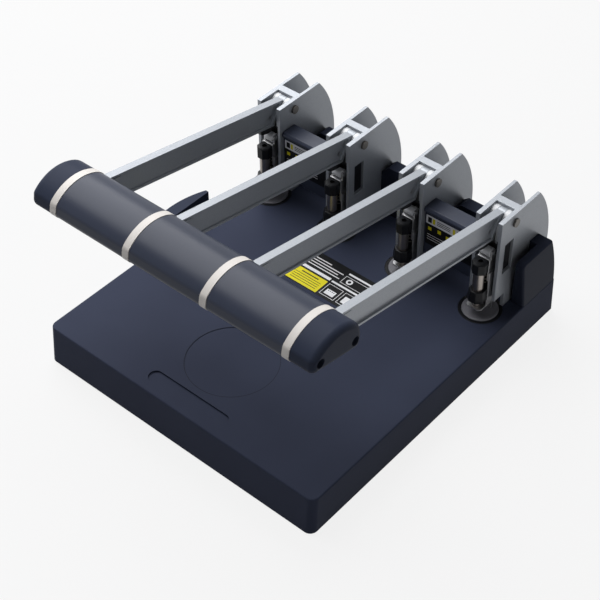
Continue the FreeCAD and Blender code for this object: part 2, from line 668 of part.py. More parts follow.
def guide_block(x):
    """Black block between the cheeks: the carriage runs on its front and the arm and cam clear its slot."""
    half = HEAD_INNER - SNUG
    back = BLOCK_FRONT + BLOCK_DEPTH
    block = box(x - half, x + half, BLOCK_FRONT, back, BUSH_BOTTOM + BLOCK_ABOVE_BUSH_FOOT, BLOCK_TOP)
    room = ARM_HALF + SLOT_GAP
    slot = box(x - room, x + room, BLOCK_FRONT - 1, back + 1, BLOCK_TOP - BLOCK_SLOT, BLOCK_TOP + 1)
    return block.cut(slot)


# ---------------------------------------------------------------- punch units
def blade(x):
    """Tubular blade: spigot in the holder, ground shank, and a thin cutting tip."""
    tube = rod(HOLE_RADIUS, x, BLADE_Y, BLADE_TIP, SHANK_LOW + 1)
    tube = tube.fuse(rod(SHANK_RADIUS, x, BLADE_Y, SHANK_LOW, KNOB_BOTTOM))
    tube = tube.fuse(rod(SPIGOT_RADIUS, x, BLADE_Y, KNOB_BOTTOM - 1, KNOB_TOP - SPIGOT_COVER))
    tube = tube.cut(rod(BLADE_BORE_RADIUS, x, BLADE_Y, BLADE_TIP - 1, KNOB_TOP + 1))
    tip = Vec(x, BLADE_Y, BLADE_TIP)
    edge = Part.makeCone(HOLE_RADIUS - SNUG, BLADE_BORE_RADIUS - SNUG, EDGE_BEVEL, tip)
    return tube.cut(edge).removeSplitter()


def blade_holder(x):
    """Octagonal moulded holder with a neck between the carriage legs."""
    knob = plan_prism(KNOB_BOTTOM, KNOB_TOP, octagon(x, BLADE_Y, KNOB_ACROSS))
    knob = knob.makeChamfer(KNOB_CHAMFER, edges_where(knob, lambda p: p.z > KNOB_TOP - 0.01))
    behind = box(x - KNOB_ACROSS, x + KNOB_ACROSS, CARRIAGE_FRONT - SLIDING, CARRIAGE_BACK, 0, KNOB_TOP + 1)
    neck = box(x - NECK_HALF, x + NECK_HALF, BLADE_Y, CARRIAGE_BACK - NECK_BACK_GAP, NECK_BOTTOM,
               CARRIAGE_TOP - SHEET - SNUG)
    holder = knob.cut(behind).fuse(neck)
    holder = holder.cut(rod(SPIGOT_RADIUS + RUNNING, x, BLADE_Y, 0, KNOB_TOP - SPIGOT_COVER))
    return holder.cut(rod(BLADE_BORE_RADIUS, x, BLADE_Y, 0, KNOB_TOP + 1)).removeSplitter()


def carriage(x):
    """Pressed-steel carriage: a top plate, two legs and the ears that hold the roller."""
    half = CARRIAGE_WIDTH / 2
    parts = [box(x - half, x + half, CARRIAGE_FRONT, CARRIAGE_BACK, CARRIAGE_TOP - SHEET, CARRIAGE_TOP)]
    for side in (-1, 1):
        x0, x1 = sorted((x + side * half, x + side * (half - SHEET)))
        parts.append(box(x0, x1, CARRIAGE_FRONT, CARRIAGE_BACK, CARRIAGE_FOOT, CARRIAGE_TOP))
        parts.append(box(x0, x1, ROLLER_Y - EAR_HALF_WIDTH, ROLLER_Y + EAR_HALF_WIDTH, CARRIAGE_TOP - 1,
                         ROLLER_Z + EAR_ABOVE_ROLLER))
    return joined(parts).cut(cross_rod(ROLLER_PIN_RADIUS, x - half - 1, x + half + 1, ROLLER_Y, ROLLER_Z))


def roller(x):
    """Nylon roller and its steel pin."""
    half = CARRIAGE_WIDTH / 2
    wheel = cross_rod(ROLLER_RADIUS, x - ROLLER_LENGTH / 2, x + ROLLER_LENGTH / 2, ROLLER_Y, ROLLER_Z)
    wheel = wheel.cut(cross_rod(ROLLER_PIN_RADIUS + RUNNING, x - half, x + half, ROLLER_Y, ROLLER_Z))
    return group([wheel, cross_rod(ROLLER_PIN_RADIUS, x - half, x + half, ROLLER_Y, ROLLER_Z)])


def blade_bush(x):
    """Lower guide of the blade: an octagonal, flared bush with a neck back to its block."""
    flare = KNOB_ACROSS + 2 * BUSH_FLARE
    foot_top = BUSH_BOTTOM + BUSH_FOOT
    foot = plan_prism(BUSH_BOTTOM, foot_top, octagon(x, BLADE_Y, flare))
    rims = []
    for z, across in ((foot_top, flare), (BUSH_TOP, KNOB_ACROSS)):
        corners = [Vec(a, b, z) for a, b in octagon(x, BLADE_Y, across)]
        rims.append(Part.makePolygon(corners + corners[:1]))
    body = foot.fuse(Part.makeLoft(rims, True, True))
    behind = box(x - flare, x + flare, CARRIAGE_FRONT - SLIDING, CARRIAGE_BACK + flare, 0, BUSH_TOP + 1)
    half = CHANNEL_HALF - SNUG
    bush = body.cut(behind).fuse(box(x - half, x + half, BLADE_Y, BLOCK_FRONT, BUSH_BOTTOM, BUSH_TOP))
    return bush.cut(rod(SHANK_RADIUS + RUNNING, x, BLADE_Y, 0, BUSH_TOP + 1)).removeSplitter()


def stripper(x):
    """Pressed-steel stripper: a foot round the blade, two legs and the paper stop."""
    half = CHANNEL_HALF + SHEET
    toe = BLADE_Y - STRIPPER_TOE
    c = STRIPPER_CORNER
    outline = [(x - half, toe + c), (x - half + c, toe), (x + half - c, toe), (x + half, toe + c),
               (x + half, CARRIAGE_BACK), (x - half, CARRIAGE_BACK)]
    parts = [plan_prism(STRIPPER_BOTTOM, STRIPPER_TOP, outline)]
    for side in (-1, 1):
        x0, x1 = sorted((x + side * half, x + side * CHANNEL_HALF))
        parts.append(box(x0, x1, CARRIAGE_FRONT, CARRIAGE_BACK + SLIDING, STRIPPER_BOTTOM, CHANNEL_TOP))
    parts.append(box(x - half, x + half, PAPER_STOP, PAPER_STOP + SHEET,
                     DISC_TOP + LOOSE, BUSH_BOTTOM - SNUG))
    return joined(parts).cut(rod(HOLE_RADIUS + LOOSE, x, BLADE_Y, 0, STRIPPER_TOP + 1))


def return_spring(x):
    """Square-wire coil spring between the bush and the holder's neck."""
    rise = NECK_BOTTOM - BUSH_TOP - SPRING_WIRE
    helix = Part.makeHelix(rise / SPRING_TURNS, rise, SPRING_RADIUS)
    helix.translate(Vec(0, 0, SPRING_WIRE / 2))
    inner = SPRING_RADIUS - SPRING_WIRE / 2
    outer = SPRING_RADIUS + SPRING_WIRE / 2
    start = [Vec(inner, 0, 0), Vec(outer, 0, 0), Vec(outer, 0, SPRING_WIRE), Vec(inner, 0, SPRING_WIRE)]
    spring = Part.Wire(helix).makePipeShell([Part.makePolygon(start + start[:1])], True, True)
    spring.translate(Vec(x, ROLLER_Y, BUSH_TOP))
    return spring


# ---------------------------------------------------------------- lever
def involute(turn, start):
    """Point (u, v) on the cam, in the raised position, that meets the roller after the lever has turned."""
    string = start + CAM_RADIUS * turn
    u = CAM_RADIUS * math.cos(turn) + string * math.sin(turn)
    v = CAM_RADIUS * math.sin(turn) - string * math.cos(turn)
    return u, v


def cam_nose():
    """Involute nose of the cam in lever terms, a little longer than the travel at both ends."""
    start = ROLLER_BELOW_PIVOT - ROLLER_RADIUS - LOOSE
    travel = math.radians(LEVER_TRAVEL)
    lift = math.radians(LEVER_LIFT)
    nose = []
    for i in range(NOSE_STEPS + 1):
        u, v = involute(travel * (1.06 - 1.12 * i / NOSE_STEPS), start)
        nose.append((u * math.cos(lift) + v * math.sin(lift), v * math.cos(lift) - u * math.sin(lift)))
    return nose


def cam_plate(x):
    """Cam riveted to the arm's web; its involute nose moves the blades in constant ratio to the lever."""
    outline = [(CAM_BACK, CAM_TOP), (CAM_FRONT, CAM_TOP), (CAM_SHOULDER, -CAM_SHOULDER_LOW)]
    outline += cam_nose() + [(CAM_BACK, -CAM_HEEL_LOW)]
    plate = lever_prism(x + CAM_LEFT, x + WEB_LEFT, outline)
    return raised(plate.cut(rivet_holes(x)))


def rivet_holes(x):
    return group([lever_rod(RIVET_RADIUS + SNUG, x + CAM_LEFT - 1, x + WEB_RIGHT, u, v) for u, v in RIVETS])


def arm_rivets(x):
    """Rivets through the cam and the web, flush on the right."""
    rivets = []
    for u, v in RIVETS:
        shank = lever_rod(RIVET_RADIUS, x + CAM_LEFT, x + WEB_RIGHT, u, v)
        head = lever_rod(RIVET_HEAD_RADIUS, x + CAM_LEFT - RIVET_HEAD_HEIGHT, x + CAM_LEFT, u, v)
        rivets.append(raised(shank.fuse(head)))
    return rivets


def arm_pockets(x):
    """Recesses on both sides of the arm's web, and the slot for the cam in the left flange."""
    top = ARM_TOP - ARM_FLANGE
    low = ARM_LOW + ARM_FLANGE
    end = ARM_REACH + 1
    toe = ARM_TOE + ARM_FLANGE
    right = lever_prism(x + WEB_RIGHT, x + ARM_HALF + 1, [
        (POCKET_START, top), (end, top), (end, low), (toe, low),
        (POCKET_START + POCKET_LEAN, -ARM_THROAT_LOW)])
    left = lever_box(x - ARM_HALF - 1, x + WEB_LEFT, POCKET_START, end, low, top)
    slot = lever_box(x - ARM_HALF - 1, x + WEB_LEFT, POCKET_START, CAM_SLOT_END, ARM_LOW - 1, low)
    return group([right, left, slot])


def arm_tongue(x):
    """Tongue in the handle's core and the solid shoulder behind it."""
    half = RING_WIDTH / 2 - SNUG
    tongue = lever_box(x - half, x + half, ARM_REACH - SHOULDER_LENGTH, CORE_BACK + TONGUE_LENGTH,
                       TONGUE_LOW, TONGUE_TOP)
    shoulder = lever_box(x - half, x + half, ARM_REACH - SHOULDER_LENGTH, CORE_BACK - SNUG,
                         CORE_LOW, TONGUE_TOP)
    return joined([tongue, shoulder])


def arm_heel(x):
    """Heel behind the pin that rests on the head's stop bar while the lever is raised."""
    end = PIVOT_Y + HEEL_LENGTH
    flat = PIVOT_Z - HEEL_UNDER
    return side_prism(x - ARM_HALF, x + ARM_HALF, [
        (PIVOT_Y, PIVOT_Z + HEEL_UNDER), (end, PIVOT_Z - SNUG), (end, flat), (PIVOT_Y + EYE_RADIUS, flat),
        (PIVOT_Y, PIVOT_Z - EYE_RADIUS + LOOSE)])


def arm(x):
    """I-section arm with a full-width eye and heel at the pin and a solid tongue into the handle."""
    body = lever_prism(x - ARM_HALF, x + ARM_HALF, [
        (ARM_BACK, ARM_TOP), (ARM_REACH, ARM_TOP), (ARM_REACH, ARM_LOW), (ARM_TOE, ARM_LOW),
        (ARM_THROAT, -ARM_THROAT_LOW), (ARM_BACK, -ARM_BACK)])
    eye = cross_rod(EYE_RADIUS, x - ARM_HALF, x + ARM_HALF, PIVOT_Y, PIVOT_Z)
    body = joined([body.cut(arm_pockets(x)), eye, arm_tongue(x)])
    holes = [rivet_holes(x), rod_bores(x - ARM_HALF, x + ARM_HALF, ROD_RADIUS + SNUG)]
    body = raised(body.cut(group(holes)))
    bore = cross_rod(PIN_RADIUS + RUNNING, x - ARM_WIDTH, x + ARM_WIDTH, PIVOT_Y, PIVOT_Z)
    return joined([body, arm_heel(x)]).cut(bore)


def lever_line(x, a, b):
    """Straight edge between two (u, v) points of the lever at x."""
    ends = [Vec(x, PIVOT_Y - u, PIVOT_Z + v) for u, v in (a, b)]
    return Part.LineSegment(*ends).toShape()


def lever_arc(x, centre, radius, start, end):
    """Arc about a (u, v) centre of the lever at x, between two angles in radians."""
    turns = (start, (start + end) / 2, end)
    points = [Vec(x, PIVOT_Y - centre[0] - radius * math.cos(t), PIVOT_Z + centre[1] + radius * math.sin(t))
              for t in turns]
    return Part.Arc(*points).toShape()


def crown_centre(front, back):
    """Centre of the crown's arc, which runs smoothly into the front and back arcs of the section."""
    to_front = HANDLE_CROWN_ARC - HANDLE_FRONT_ARC
    to_back = HANDLE_CROWN_ARC - HANDLE_BACK_ARC
    span = math.dist(front, back)
    along = (to_back ** 2 - to_front ** 2 + span ** 2) / (2 * span)
    down = math.sqrt(to_back ** 2 - along ** 2)
    du = (front[0] - back[0]) / span
    dv = (front[1] - back[1]) / span
    return back[0] + along * du + down * dv, back[1] + along * dv - down * du


def handle_section(x, grow):
    """Wire of the handle's section at x, grown outwards: a flat base, round corners and a three-arc top."""
    half = HANDLE_HALF_WIDTH + grow
    base = -HANDLE_BASE - grow
    corner = HANDLE_CORNER + grow
    centre = HANDLE_CENTRE
    front = (centre + HANDLE_HALF_WIDTH - HANDLE_FRONT_ARC, HANDLE_FRONT_SPRING)
    back = (centre - HANDLE_HALF_WIDTH + HANDLE_BACK_ARC, HANDLE_BACK_SPRING)
    crown = crown_centre(front, back)
    front_turn = math.atan2(front[1] - crown[1], front[0] - crown[0])
    back_turn = math.atan2(back[1] - crown[1], back[0] - crown[0])
    low = base + corner
    quarter = math.pi / 2
    edges = [
        lever_line(x, (centre - half + corner, base), (centre + half - corner, base)),
        lever_arc(x, (centre + half - corner, low), corner, -quarter, 0),
        lever_line(x, (centre + half, low), (centre + half, front[1])),
        lever_arc(x, front, HANDLE_FRONT_ARC + grow, 0, front_turn),
        lever_arc(x, crown, HANDLE_CROWN_ARC + grow, front_turn, back_turn),
        lever_arc(x, back, HANDLE_BACK_ARC + grow, back_turn, math.pi),
        lever_line(x, (centre - half, back[1]), (centre - half, low)),
        lever_arc(x, (centre - half + corner, low), corner, math.pi, math.pi + quarter),
    ]
    return Part.Wire(edges)


def handle_prism(x0, x1, grow):
    return Part.Face(handle_section(x0, grow)).extrude(Vec(x1 - x0, 0, 0))


def rod_places():
    return [HANDLE_CENTRE + side * ROD_SPACING / 2 for side in (-1, 1)]


def rod_bores(x0, x1, radius):
    """Cylinders along both tie rods, which lie on the arm axis."""
    return group([lever_rod(radius, x0, x1, u, 0) for u in rod_places()])


def core_block(x0, x1, gap):
    return lever_box(x0, x1, CORE_BACK - gap, CORE_BACK + CORE_WIDTH + gap, CORE_LOW - gap, CORE_HIGH + gap)


def handle_core():
    """Channel open to the rear, which the arm tongues enter."""
    x1 = HANDLE_X - CORE_END
    hollow = lever_box(-x1 - 1, x1 + 1, CORE_BACK - 1, CORE_BACK + CORE_WIDTH - CORE_WALL,
                       CORE_LOW + CORE_WALL, CORE_HIGH - CORE_WALL)
    return raised(core_block(-x1, x1, 0).cut(hollow))


def grip(x0, x1):
    """Extruded shell with a bored rib along each tie rod."""
    shell = handle_prism(x0, x1, 0).cut(handle_prism(x0 - 1, x1 + 1, -HANDLE_WALL))
    reach = ROD_RADIUS + ROD_BOSS
    back, front = rod_places()
    ribs = group([lever_box(x0, x1, HANDLE_CENTRE - HANDLE_HALF_WIDTH, back + reach, -reach, reach),
                  lever_box(x0, x1, front - reach, HANDLE_CENTRE + HANDLE_HALF_WIDTH, -reach, reach)])
    body = shell.fuse(ribs.common(handle_prism(x0, x1, -HANDLE_WALL / 2)))
    return raised(body.cut(rod_bores(x0 - 1, x1 + 1, ROD_RADIUS + SNUG)).removeSplitter())


def handle_ring(x):
    """Light ring between two grips, open at the back for the arm's tongue."""
    half = RING_WIDTH / 2
    x0 = x - half - 1
    x1 = x + half + 1
    tongue = lever_box(x0, x1, 0, HANDLE_CENTRE, CORE_LOW - SNUG, TONGUE_TOP + SNUG)
    room = [core_block(x0, x1, SNUG), tongue, rod_bores(x0, x1, ROD_RADIUS + SNUG)]
    return raised(handle_prism(x - half, x + half, RING_PROUD).cut(group(room)))


def end_cap(side):
    """Moulded cap with a rounded rim and two sunk screw seats."""
    inner = side * (HEADS[-1] + RING_WIDTH / 2 + SNUG)
    outer = side * HANDLE_X
    cap = handle_prism(inner, outer, 0)
    cap = cap.makeFillet(CAP_ROUND, edges_where(cap, lambda p: abs(p.x - outer) < 0.01))
    core = core_block(*sorted((inner - side, outer - side * (CORE_END - SNUG))), SNUG)
    seats = rod_bores(*sorted((outer - side * CAP_SCREW_SINK, outer + side)), CAP_SEAT_RADIUS)
    bores = rod_bores(*sorted((inner - side, outer)), ROD_RADIUS + SNUG)
    return raised(cap.cut(group([core, seats, bores])))


def tie_rods():
    end = HANDLE_X - CAP_SCREW_SINK - CAP_SCREW_SHANK
    return raised(rod_bores(-end, end, ROD_RADIUS))


def cap_screw(side, u):
    """Socket screw at the end of a tie rod."""
    face = side * (HANDLE_X - CAP_SCREW_SINK)
    head = lever_rod(CAP_SCREW_RADIUS, *sorted((face, face + side * CAP_SCREW_HEAD)), u, 0)
    shank = lever_rod(ROD_RADIUS, *sorted((face, face - side * CAP_SCREW_SHANK)), u, 0)
    top = face + side * CAP_SCREW_HEAD
    socket = lever_rod(SOCKET_RADIUS, *sorted((top, top - side * SOCKET_DEPTH)), u, 0)
    return raised(head.fuse(shank).cut(socket))


# ---------------------------------------------------------------- covers
def cover_side(x0, x1, inset):
    """Solid of the rear cover's side outline, with its curved back, moved in by inset."""
    top = COVER_TOP - inset
    back = DECK_REAR - inset
    corners = [Vec(x0, back - COVER_BACK_TOP, top), Vec(x0, COVER_FRONT - COVER_FRONT_LEAN + inset, top),
               Vec(x0, COVER_FRONT + inset, DECK), Vec(x0, back - COVER_BACK_FOOT, DECK)]
    middle = Vec(x0, back - COVER_BACK_MID, DECK + COVER_HEIGHT / 2)
    edges = [Part.LineSegment(a, b).toShape() for a, b in zip(corners, corners[1:])]
    edges.append(Part.Arc(corners[3], middle, corners[0]).toShape())
    return Part.Face(Part.Wire(edges)).extrude(Vec(x1 - x0, 0, 0))


def cover_block():
    """The rear cover before it is hollowed, with rounded top and side edges."""
    block = cover_side(-COVER_HALF, COVER_HALF, 0)
    across = [e for e in block.Edges if e.BoundBox.XLength > COVER_HALF and e.CenterOfMass.z > DECK + 1]
    block = block.makeFillet(COVER_CORNER, across)
    outer = [e for e in block.Edges if e.BoundBox.XLength < 0.01 and e.CenterOfMass.z > DECK + 0.01]
    return block.makeFillet(COVER_EDGE, outer)


def wall_hollow(x0, x1):
    """Hollow of the rear wall between the sides of two heads, open to the deck."""
    w = COVER_WALL
    side = COVER_TOP - COVER_NOTCH - w * (math.sqrt(2) - 1)
    run = COVER_TOP - w - side
    outline = [(x0 + w, DECK - 1), (x1 - w, DECK - 1), (x1 - w, side), (x1 - w - run, COVER_TOP - w),
               (x0 + w + run, COVER_TOP - w), (x0 + w, side)]
    return front_prism(COVER_WALL_Y + w, REAR, outline).common(cover_side(x0, x1, w))


def head_cutaways(number, x):
    """Room for a head in the rear wall, above the sill and down to the deck in front of it."""
    half = HEAD_HALF + LOOSE
    sill = DECK + SILL_HEIGHT
    over = COVER_TOP + 1
    notch = COVER_NOTCH + 1
    left = notch if number > 0 else 0
    right = notch if number < HEAD_COUNT - 1 else 0
    outline = [(x - half, sill), (x - half, over - left), (x - half - left, over), (x + half + right, over),
               (x + half, over - right), (x + half, sill)]
    outline = [p for i, p in enumerate(outline) if p != outline[i - 1]]
    return [front_prism(COVER_WALL_Y - 1, REAR + 1, outline),
            box(x - half, x + half, COVER_WALL_Y - 1, SILL_FRONT, DECK - 1, sill + 1)]


def rear_cover():
    """Moulded cover: two wings and a hollow rear wall that is cut away at each head above a sill."""
    foot = WING_FOOT
    top = WING_FOOT + WING_LEAN
    bay = front_prism(COVER_FRONT - COVER_FRONT_LEAN - 1, COVER_WALL_Y, [
        (-foot, DECK - 1), (foot, DECK - 1), (foot, DECK), (top, COVER_TOP), (top, COVER_TOP + 1),
        (-top, COVER_TOP + 1), (-top, COVER_TOP), (-foot, DECK)])
    cuts = [bay] + [wall_hollow(x0, x1) for x0, x1 in gaps_between_heads(HEAD_HALF + LOOSE)]
    for number, x in enumerate(HEADS):
        cuts += head_cutaways(number, x)
    body = cover_block().cut(group(cuts))
    bosses = [rod(BOSS_RADIUS, x, y, DECK, DECK + SILL_HEIGHT) for x, y in cover_screw_places()]
    body = joined([body] + [boss.common(cover_side(-COVER_HALF, COVER_HALF, SNUG)) for boss in bosses])
    holes = [rod(SCREW_RADIUS + SNUG, x, y, 0, DECK_UNDER + COVER_SCREW_LENGTH + LOOSE)
             for x, y in cover_screw_places()]
    return body.cut(group(holes))


def bridge_cover(x0, x1):
    """Cover between two heads, open underneath: a lipped fascia, a flat top and an upright back."""
    lip_y = CHEEK_FRONT + BRIDGE_FRONT_BEHIND_CHEEK
    face_y = lip_y + BRIDGE_LIP_PROUD
    back = lip_y + BRIDGE_DEPTH
    top = BRIDGE_TOP
    low = top - BRIDGE_HEIGHT
    outer = [(face_y, low), (face_y, top - BRIDGE_LIP), (lip_y, top - BRIDGE_LIP),
             (lip_y, top - BRIDGE_BEVEL), (lip_y + BRIDGE_BEVEL, top), (back, top), (back, low)]
    w = BRIDGE_WALL
    return side_prism(x0, x1, outer).cut(box(x0 + w, x1 - w, face_y + w, back - w, low - 1, top - w))


# ---------------------------------------------------------------- side guide
def guide_stop():
    """Paper guide beside the deck: straight inside, bowed outside, as tall as the deck and the paper."""
    y0 = GUIDE_Y - GUIDE_LENGTH / 2
    y1 = GUIDE_Y + GUIDE_LENGTH / 2
    x = -HALF - LOOSE
    low = DECK - GUIDE_BELOW_DECK
    top = DECK + GUIDE_ABOVE_DECK
    edge = x - GUIDE_END_WIDTH
    bow = Part.Arc(Vec(edge, y0, low), Vec(x - GUIDE_BULGE, GUIDE_Y, low), Vec(edge, y1, low)).toShape()
    line = [Vec(edge, y1, low), Vec(x, y1, low), Vec(x, y0, low), Vec(edge, y0, low)]
    sides = [Part.LineSegment(a, b).toShape() for a, b in zip(line, line[1:])]
    body = Part.Face(Part.Wire([bow] + sides)).extrude(Vec(0, 0, top - low))
    rim = [e for e in body.Edges if e.BoundBox.ZMin > top - 0.01 and e.BoundBox.XLength > 1
           and e.BoundBox.YLength > 1]
    body = body.makeFillet(GUIDE_EDGE, rim)
    _, _, b0, b1, z0, z1 = bar_channel(SNUG)
    return body.cut(box(x - BAR_IN_GUIDE, x + 1, b0, b1, z0, z1))


def guide_bar():
    _, _, y0, y1, z0, z1 = bar_channel(0)
    x = -HALF - LOOSE - BAR_IN_GUIDE
    return box(x, x + BAR_LENGTH, y0, y1, z0, z1)


# ---------------------------------------------------------------- all parts
def single_parts():
    parts = {
        "base_housing": base_housing(),
        "base_plate": base_plate(),
        "rubber_feet": rubber_feet(),
        "housing_screws": housing_screws(),
        "base_beam": base_beam(),
        "rear_cover": rear_cover(),
        "deck_plate": deck_plate(),
        "handle_core": handle_core(),
        "tie_rods": tie_rods(),
        "cap_screws": group([cap_screw(side, u) for side in (-1, 1) for u in rod_places()]),
        "end_cap_left": end_cap(-1),
        "end_cap_right": end_cap(1),
        "guide_stop": guide_stop(),
        "guide_bar": guide_bar(),
    }
    grips = gaps_between_heads(RING_WIDTH / 2 + SNUG)
    for name, (x0, x1) in zip(("grip_left", "grip_middle", "grip_right"), grips):
        parts[name] = grip(x0, x1)
    bridges = gaps_between_heads(HEAD_HALF + SLIDING)
    parts["bridge_cover_left"] = bridge_cover(*bridges[0])
    parts["bridge_cover_right"] = bridge_cover(*bridges[-1])
    return parts


def grouped_parts():
    """One node for each kind of small part that repeats at the heads."""
    return {
        "head_bolts": for_heads(lambda x: [head_bolt(bx, by) for bx, by in head_bolt_places(x)]),
        "fulcrum_pins": for_heads(fulcrum_pin),
        "pin_clips": for_heads(pin_clip),
        "pin_spacers": for_heads(pin_spacers),
        "guide_blocks": for_heads(guide_block),
        "blade_bushes": for_heads(blade_bush),
        "strippers": for_heads(stripper),
        "return_springs": for_heads(return_spring),
        "disc_seats": for_heads(disc_seat),
        "handle_rings": for_heads(handle_ring),
        "cam_plates": for_heads(cam_plate),
        "arm_bolts": for_heads(arm_rivets),
    }


def head_parts(number, x):
    """The larger parts of one punching head, each a node of its own."""
    return {
        f"head_frame_{number}": head_frame(x),
        f"arm_{number}": arm(x),
        f"blade_{number}": blade(x),
        f"blade_holder_{number}": blade_holder(x),
        f"carriage_{number}": carriage(x),
        f"roller_{number}": roller(x),
        f"cutting_disc_{number}": cutting_disc(x),
    }


all_parts = single_parts() | grouped_parts()
for number, x in enumerate(HEADS, 1):
    all_parts |= head_parts(number, x)
os.makedirs("parts", exist_ok=True)
for node, shape in all_parts.items():
    shape.exportStep(f"parts/{node}.step")
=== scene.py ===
import math

import bmesh
import bpy
from bpy.props import FloatProperty, FloatVectorProperty, PointerProperty, StringProperty
from mathutils import Matrix, Vector


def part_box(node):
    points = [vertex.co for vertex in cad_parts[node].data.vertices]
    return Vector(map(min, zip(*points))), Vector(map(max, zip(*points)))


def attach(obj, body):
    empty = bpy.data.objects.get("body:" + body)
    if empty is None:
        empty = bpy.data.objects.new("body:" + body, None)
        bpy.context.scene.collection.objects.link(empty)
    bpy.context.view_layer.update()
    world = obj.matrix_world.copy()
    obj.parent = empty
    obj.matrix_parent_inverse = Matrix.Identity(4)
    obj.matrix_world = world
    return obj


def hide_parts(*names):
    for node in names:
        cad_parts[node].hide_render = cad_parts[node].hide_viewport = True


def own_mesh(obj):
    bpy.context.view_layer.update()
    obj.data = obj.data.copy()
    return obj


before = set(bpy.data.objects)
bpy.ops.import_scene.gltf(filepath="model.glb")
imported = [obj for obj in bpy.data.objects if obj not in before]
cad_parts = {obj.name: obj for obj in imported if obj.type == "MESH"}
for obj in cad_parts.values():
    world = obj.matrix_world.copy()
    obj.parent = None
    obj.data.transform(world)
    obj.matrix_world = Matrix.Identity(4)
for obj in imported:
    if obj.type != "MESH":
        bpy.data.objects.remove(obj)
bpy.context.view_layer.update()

bl_info = {
    "name": "Four-hole lever punch",
    "version": (1, 0, 0),
    "blender": (4, 5, 0),
    "location": "3D View > Sidebar > Punch",
    "description": "Finishes, printed details and studio stage for a lever-operated paper punch",
    "category": "Object",
}

MM = 0.001
HEAD_NUMBERS = (1, 2, 3, 4)
HEAD_PITCH = 80 * MM
FASCIA_BEHIND_LIP = 2.4 * MM     # a bridge cover's printed face lies this far behind its lip
ROUNDEL_RADIUS = 40 * MM         # shallow round field in the deck
ROUNDEL_FROM_FRONT = 73.5 * MM
ROUNDEL_LINE = 0.45 * MM         # width of the painted shade line round it
ROUNDEL_LINE_HEIGHT = 0.02 * MM
ROUNDEL_SIDES = 96
SPRING_RADIUS = 3.5 * MM
SPRING_WIRE = 0.5 * MM           # radius of the wire
BEVEL_ANGLE = math.radians(38)
CAD_WELD = 0.002 * MM            # joins the corners that faces of a solid share
BEVEL_WELD = 0.0005 * MM         # takes out the slivers that a bevel leaves
FLAT_WEIGHT = 60                 # how strongly large faces keep their own shading
CAP_GLOSS = 0.03
PAPER_COLOUR = "#a8a8aa"
PAPER_WHITE = 0.85               # share of plain white that the camera, metal and glass see in the paper
SWEEP_PROFILE = ((1.6, 0.0), (2.2, 0.05), (2.7, 0.25), (3.0, 0.7), (3.1, 2.2))  # radius, height in metres
SWEEP_SIDES = 64
SWEEP_DROP = 0.5 * MM            # paper under the feet
LIT_POINT = Vector((0, 0, 0.05))


# ---------------------------------------------------------------- small helpers
def linear(code):
    """RGBA in linear light from an sRGB hex value such as #c0c0c0."""
    values = [int(code[i:i + 2], 16) / 255 for i in (1, 3, 5)]
    return [v / 12.92 if v <= 0.04045 else ((v + 0.055) / 1.055) ** 2.4 for v in values] + [1.0]


def add_node(tree, kind, links=None, inputs=None, **settings):
    """Adds a shader node; links and inputs are keyed by input name or number."""
    node = tree.nodes.new(kind)
    for key, value in settings.items():
        setattr(node, key, value)
    for key, value in (inputs or {}).items():
        node.inputs[key].default_value = value
    for key, socket in (links or {}).items():
        tree.links.new(socket, node.inputs[key])
    return node


def new_material(name, colour, roughness, metallic=0.0, **sockets):
    """A material with one Principled shader; its steady values sit on the shader's own sockets."""
    material = bpy.data.materials.new(name)
    material.use_nodes = True
    tree = material.node_tree
    tree.nodes.clear()
    shader = add_node(tree, "ShaderNodeBsdfPrincipled", inputs={
        "Base Color": linear(colour), "Roughness": roughness, "Metallic": metallic, **sockets})
    add_node(tree, "ShaderNodeOutputMaterial", links={"Surface": shader.outputs["BSDF"]})
    material.diffuse_color = linear(colour)
    return material, tree, shader


def place(tree, scale=(1.0, 1.0, 1.0)):
    """Vector of positions on the piece, in metres, stretched by scale."""
    where = add_node(tree, "ShaderNodeTexCoord")
    stretched = add_node(tree, "ShaderNodeMapping", {"Vector": where.outputs["Object"]}, {"Scale": scale})
    return stretched.outputs["Vector"]


def vary_colour(tree, shader, source, dark, light):
    """Base colour that drifts between two near shades with the source."""
    mixed = add_node(tree, "ShaderNodeMix", {0: source}, {6: linear(dark), 7: linear(light)},
                     data_type="RGBA", clamp_factor=True)
    tree.links.new(mixed.outputs[2], shader.inputs["Base Color"])


def vary_roughness(tree, shader, source, low, high):
    """Roughness that drifts from low to high with the source."""
    spread = add_node(tree, "ShaderNodeMapRange", {"Value": source}, {"To Min": low, "To Max": high})
    tree.links.new(spread.outputs["Result"], shader.inputs["Roughness"])


def bump(tree, shader, source, depth_mm):
    """Relief of the given depth from the source."""
    raised = add_node(tree, "ShaderNodeBump", {"Height": source},
                      {"Distance": depth_mm * MM, "Strength": 1.0})
    tree.links.new(raised.outputs["Normal"], shader.inputs["Normal"])


# ---------------------------------------------------------------- finishes
def moulded_plastic(name, colour, shade, roughness, grain_mm, depth_mm, gloss, ior=1.53):
    """Plastic from a spark-eroded mould: an even fine grain that takes part of the gloss."""
    material, tree, shader = new_material(name, colour, roughness, IOR=ior, **{"Specular IOR Level": gloss})
    spot = place(tree)
    grain = add_node(tree, "ShaderNodeTexNoise", {"Vector": spot},
                     {"Scale": 1 / (grain_mm * MM), "Detail": 3.0, "Roughness": 0.6})
    flow = add_node(tree, "ShaderNodeTexNoise", {"Vector": spot}, {"Scale": 14.0, "Detail": 2.0})
    vary_colour(tree, shader, flow.outputs[0], shade, colour)
    vary_roughness(tree, shader, grain.outputs[0], roughness - 0.05, roughness + 0.07)
    bump(tree, shader, grain.outputs[0], depth_mm)
    return material


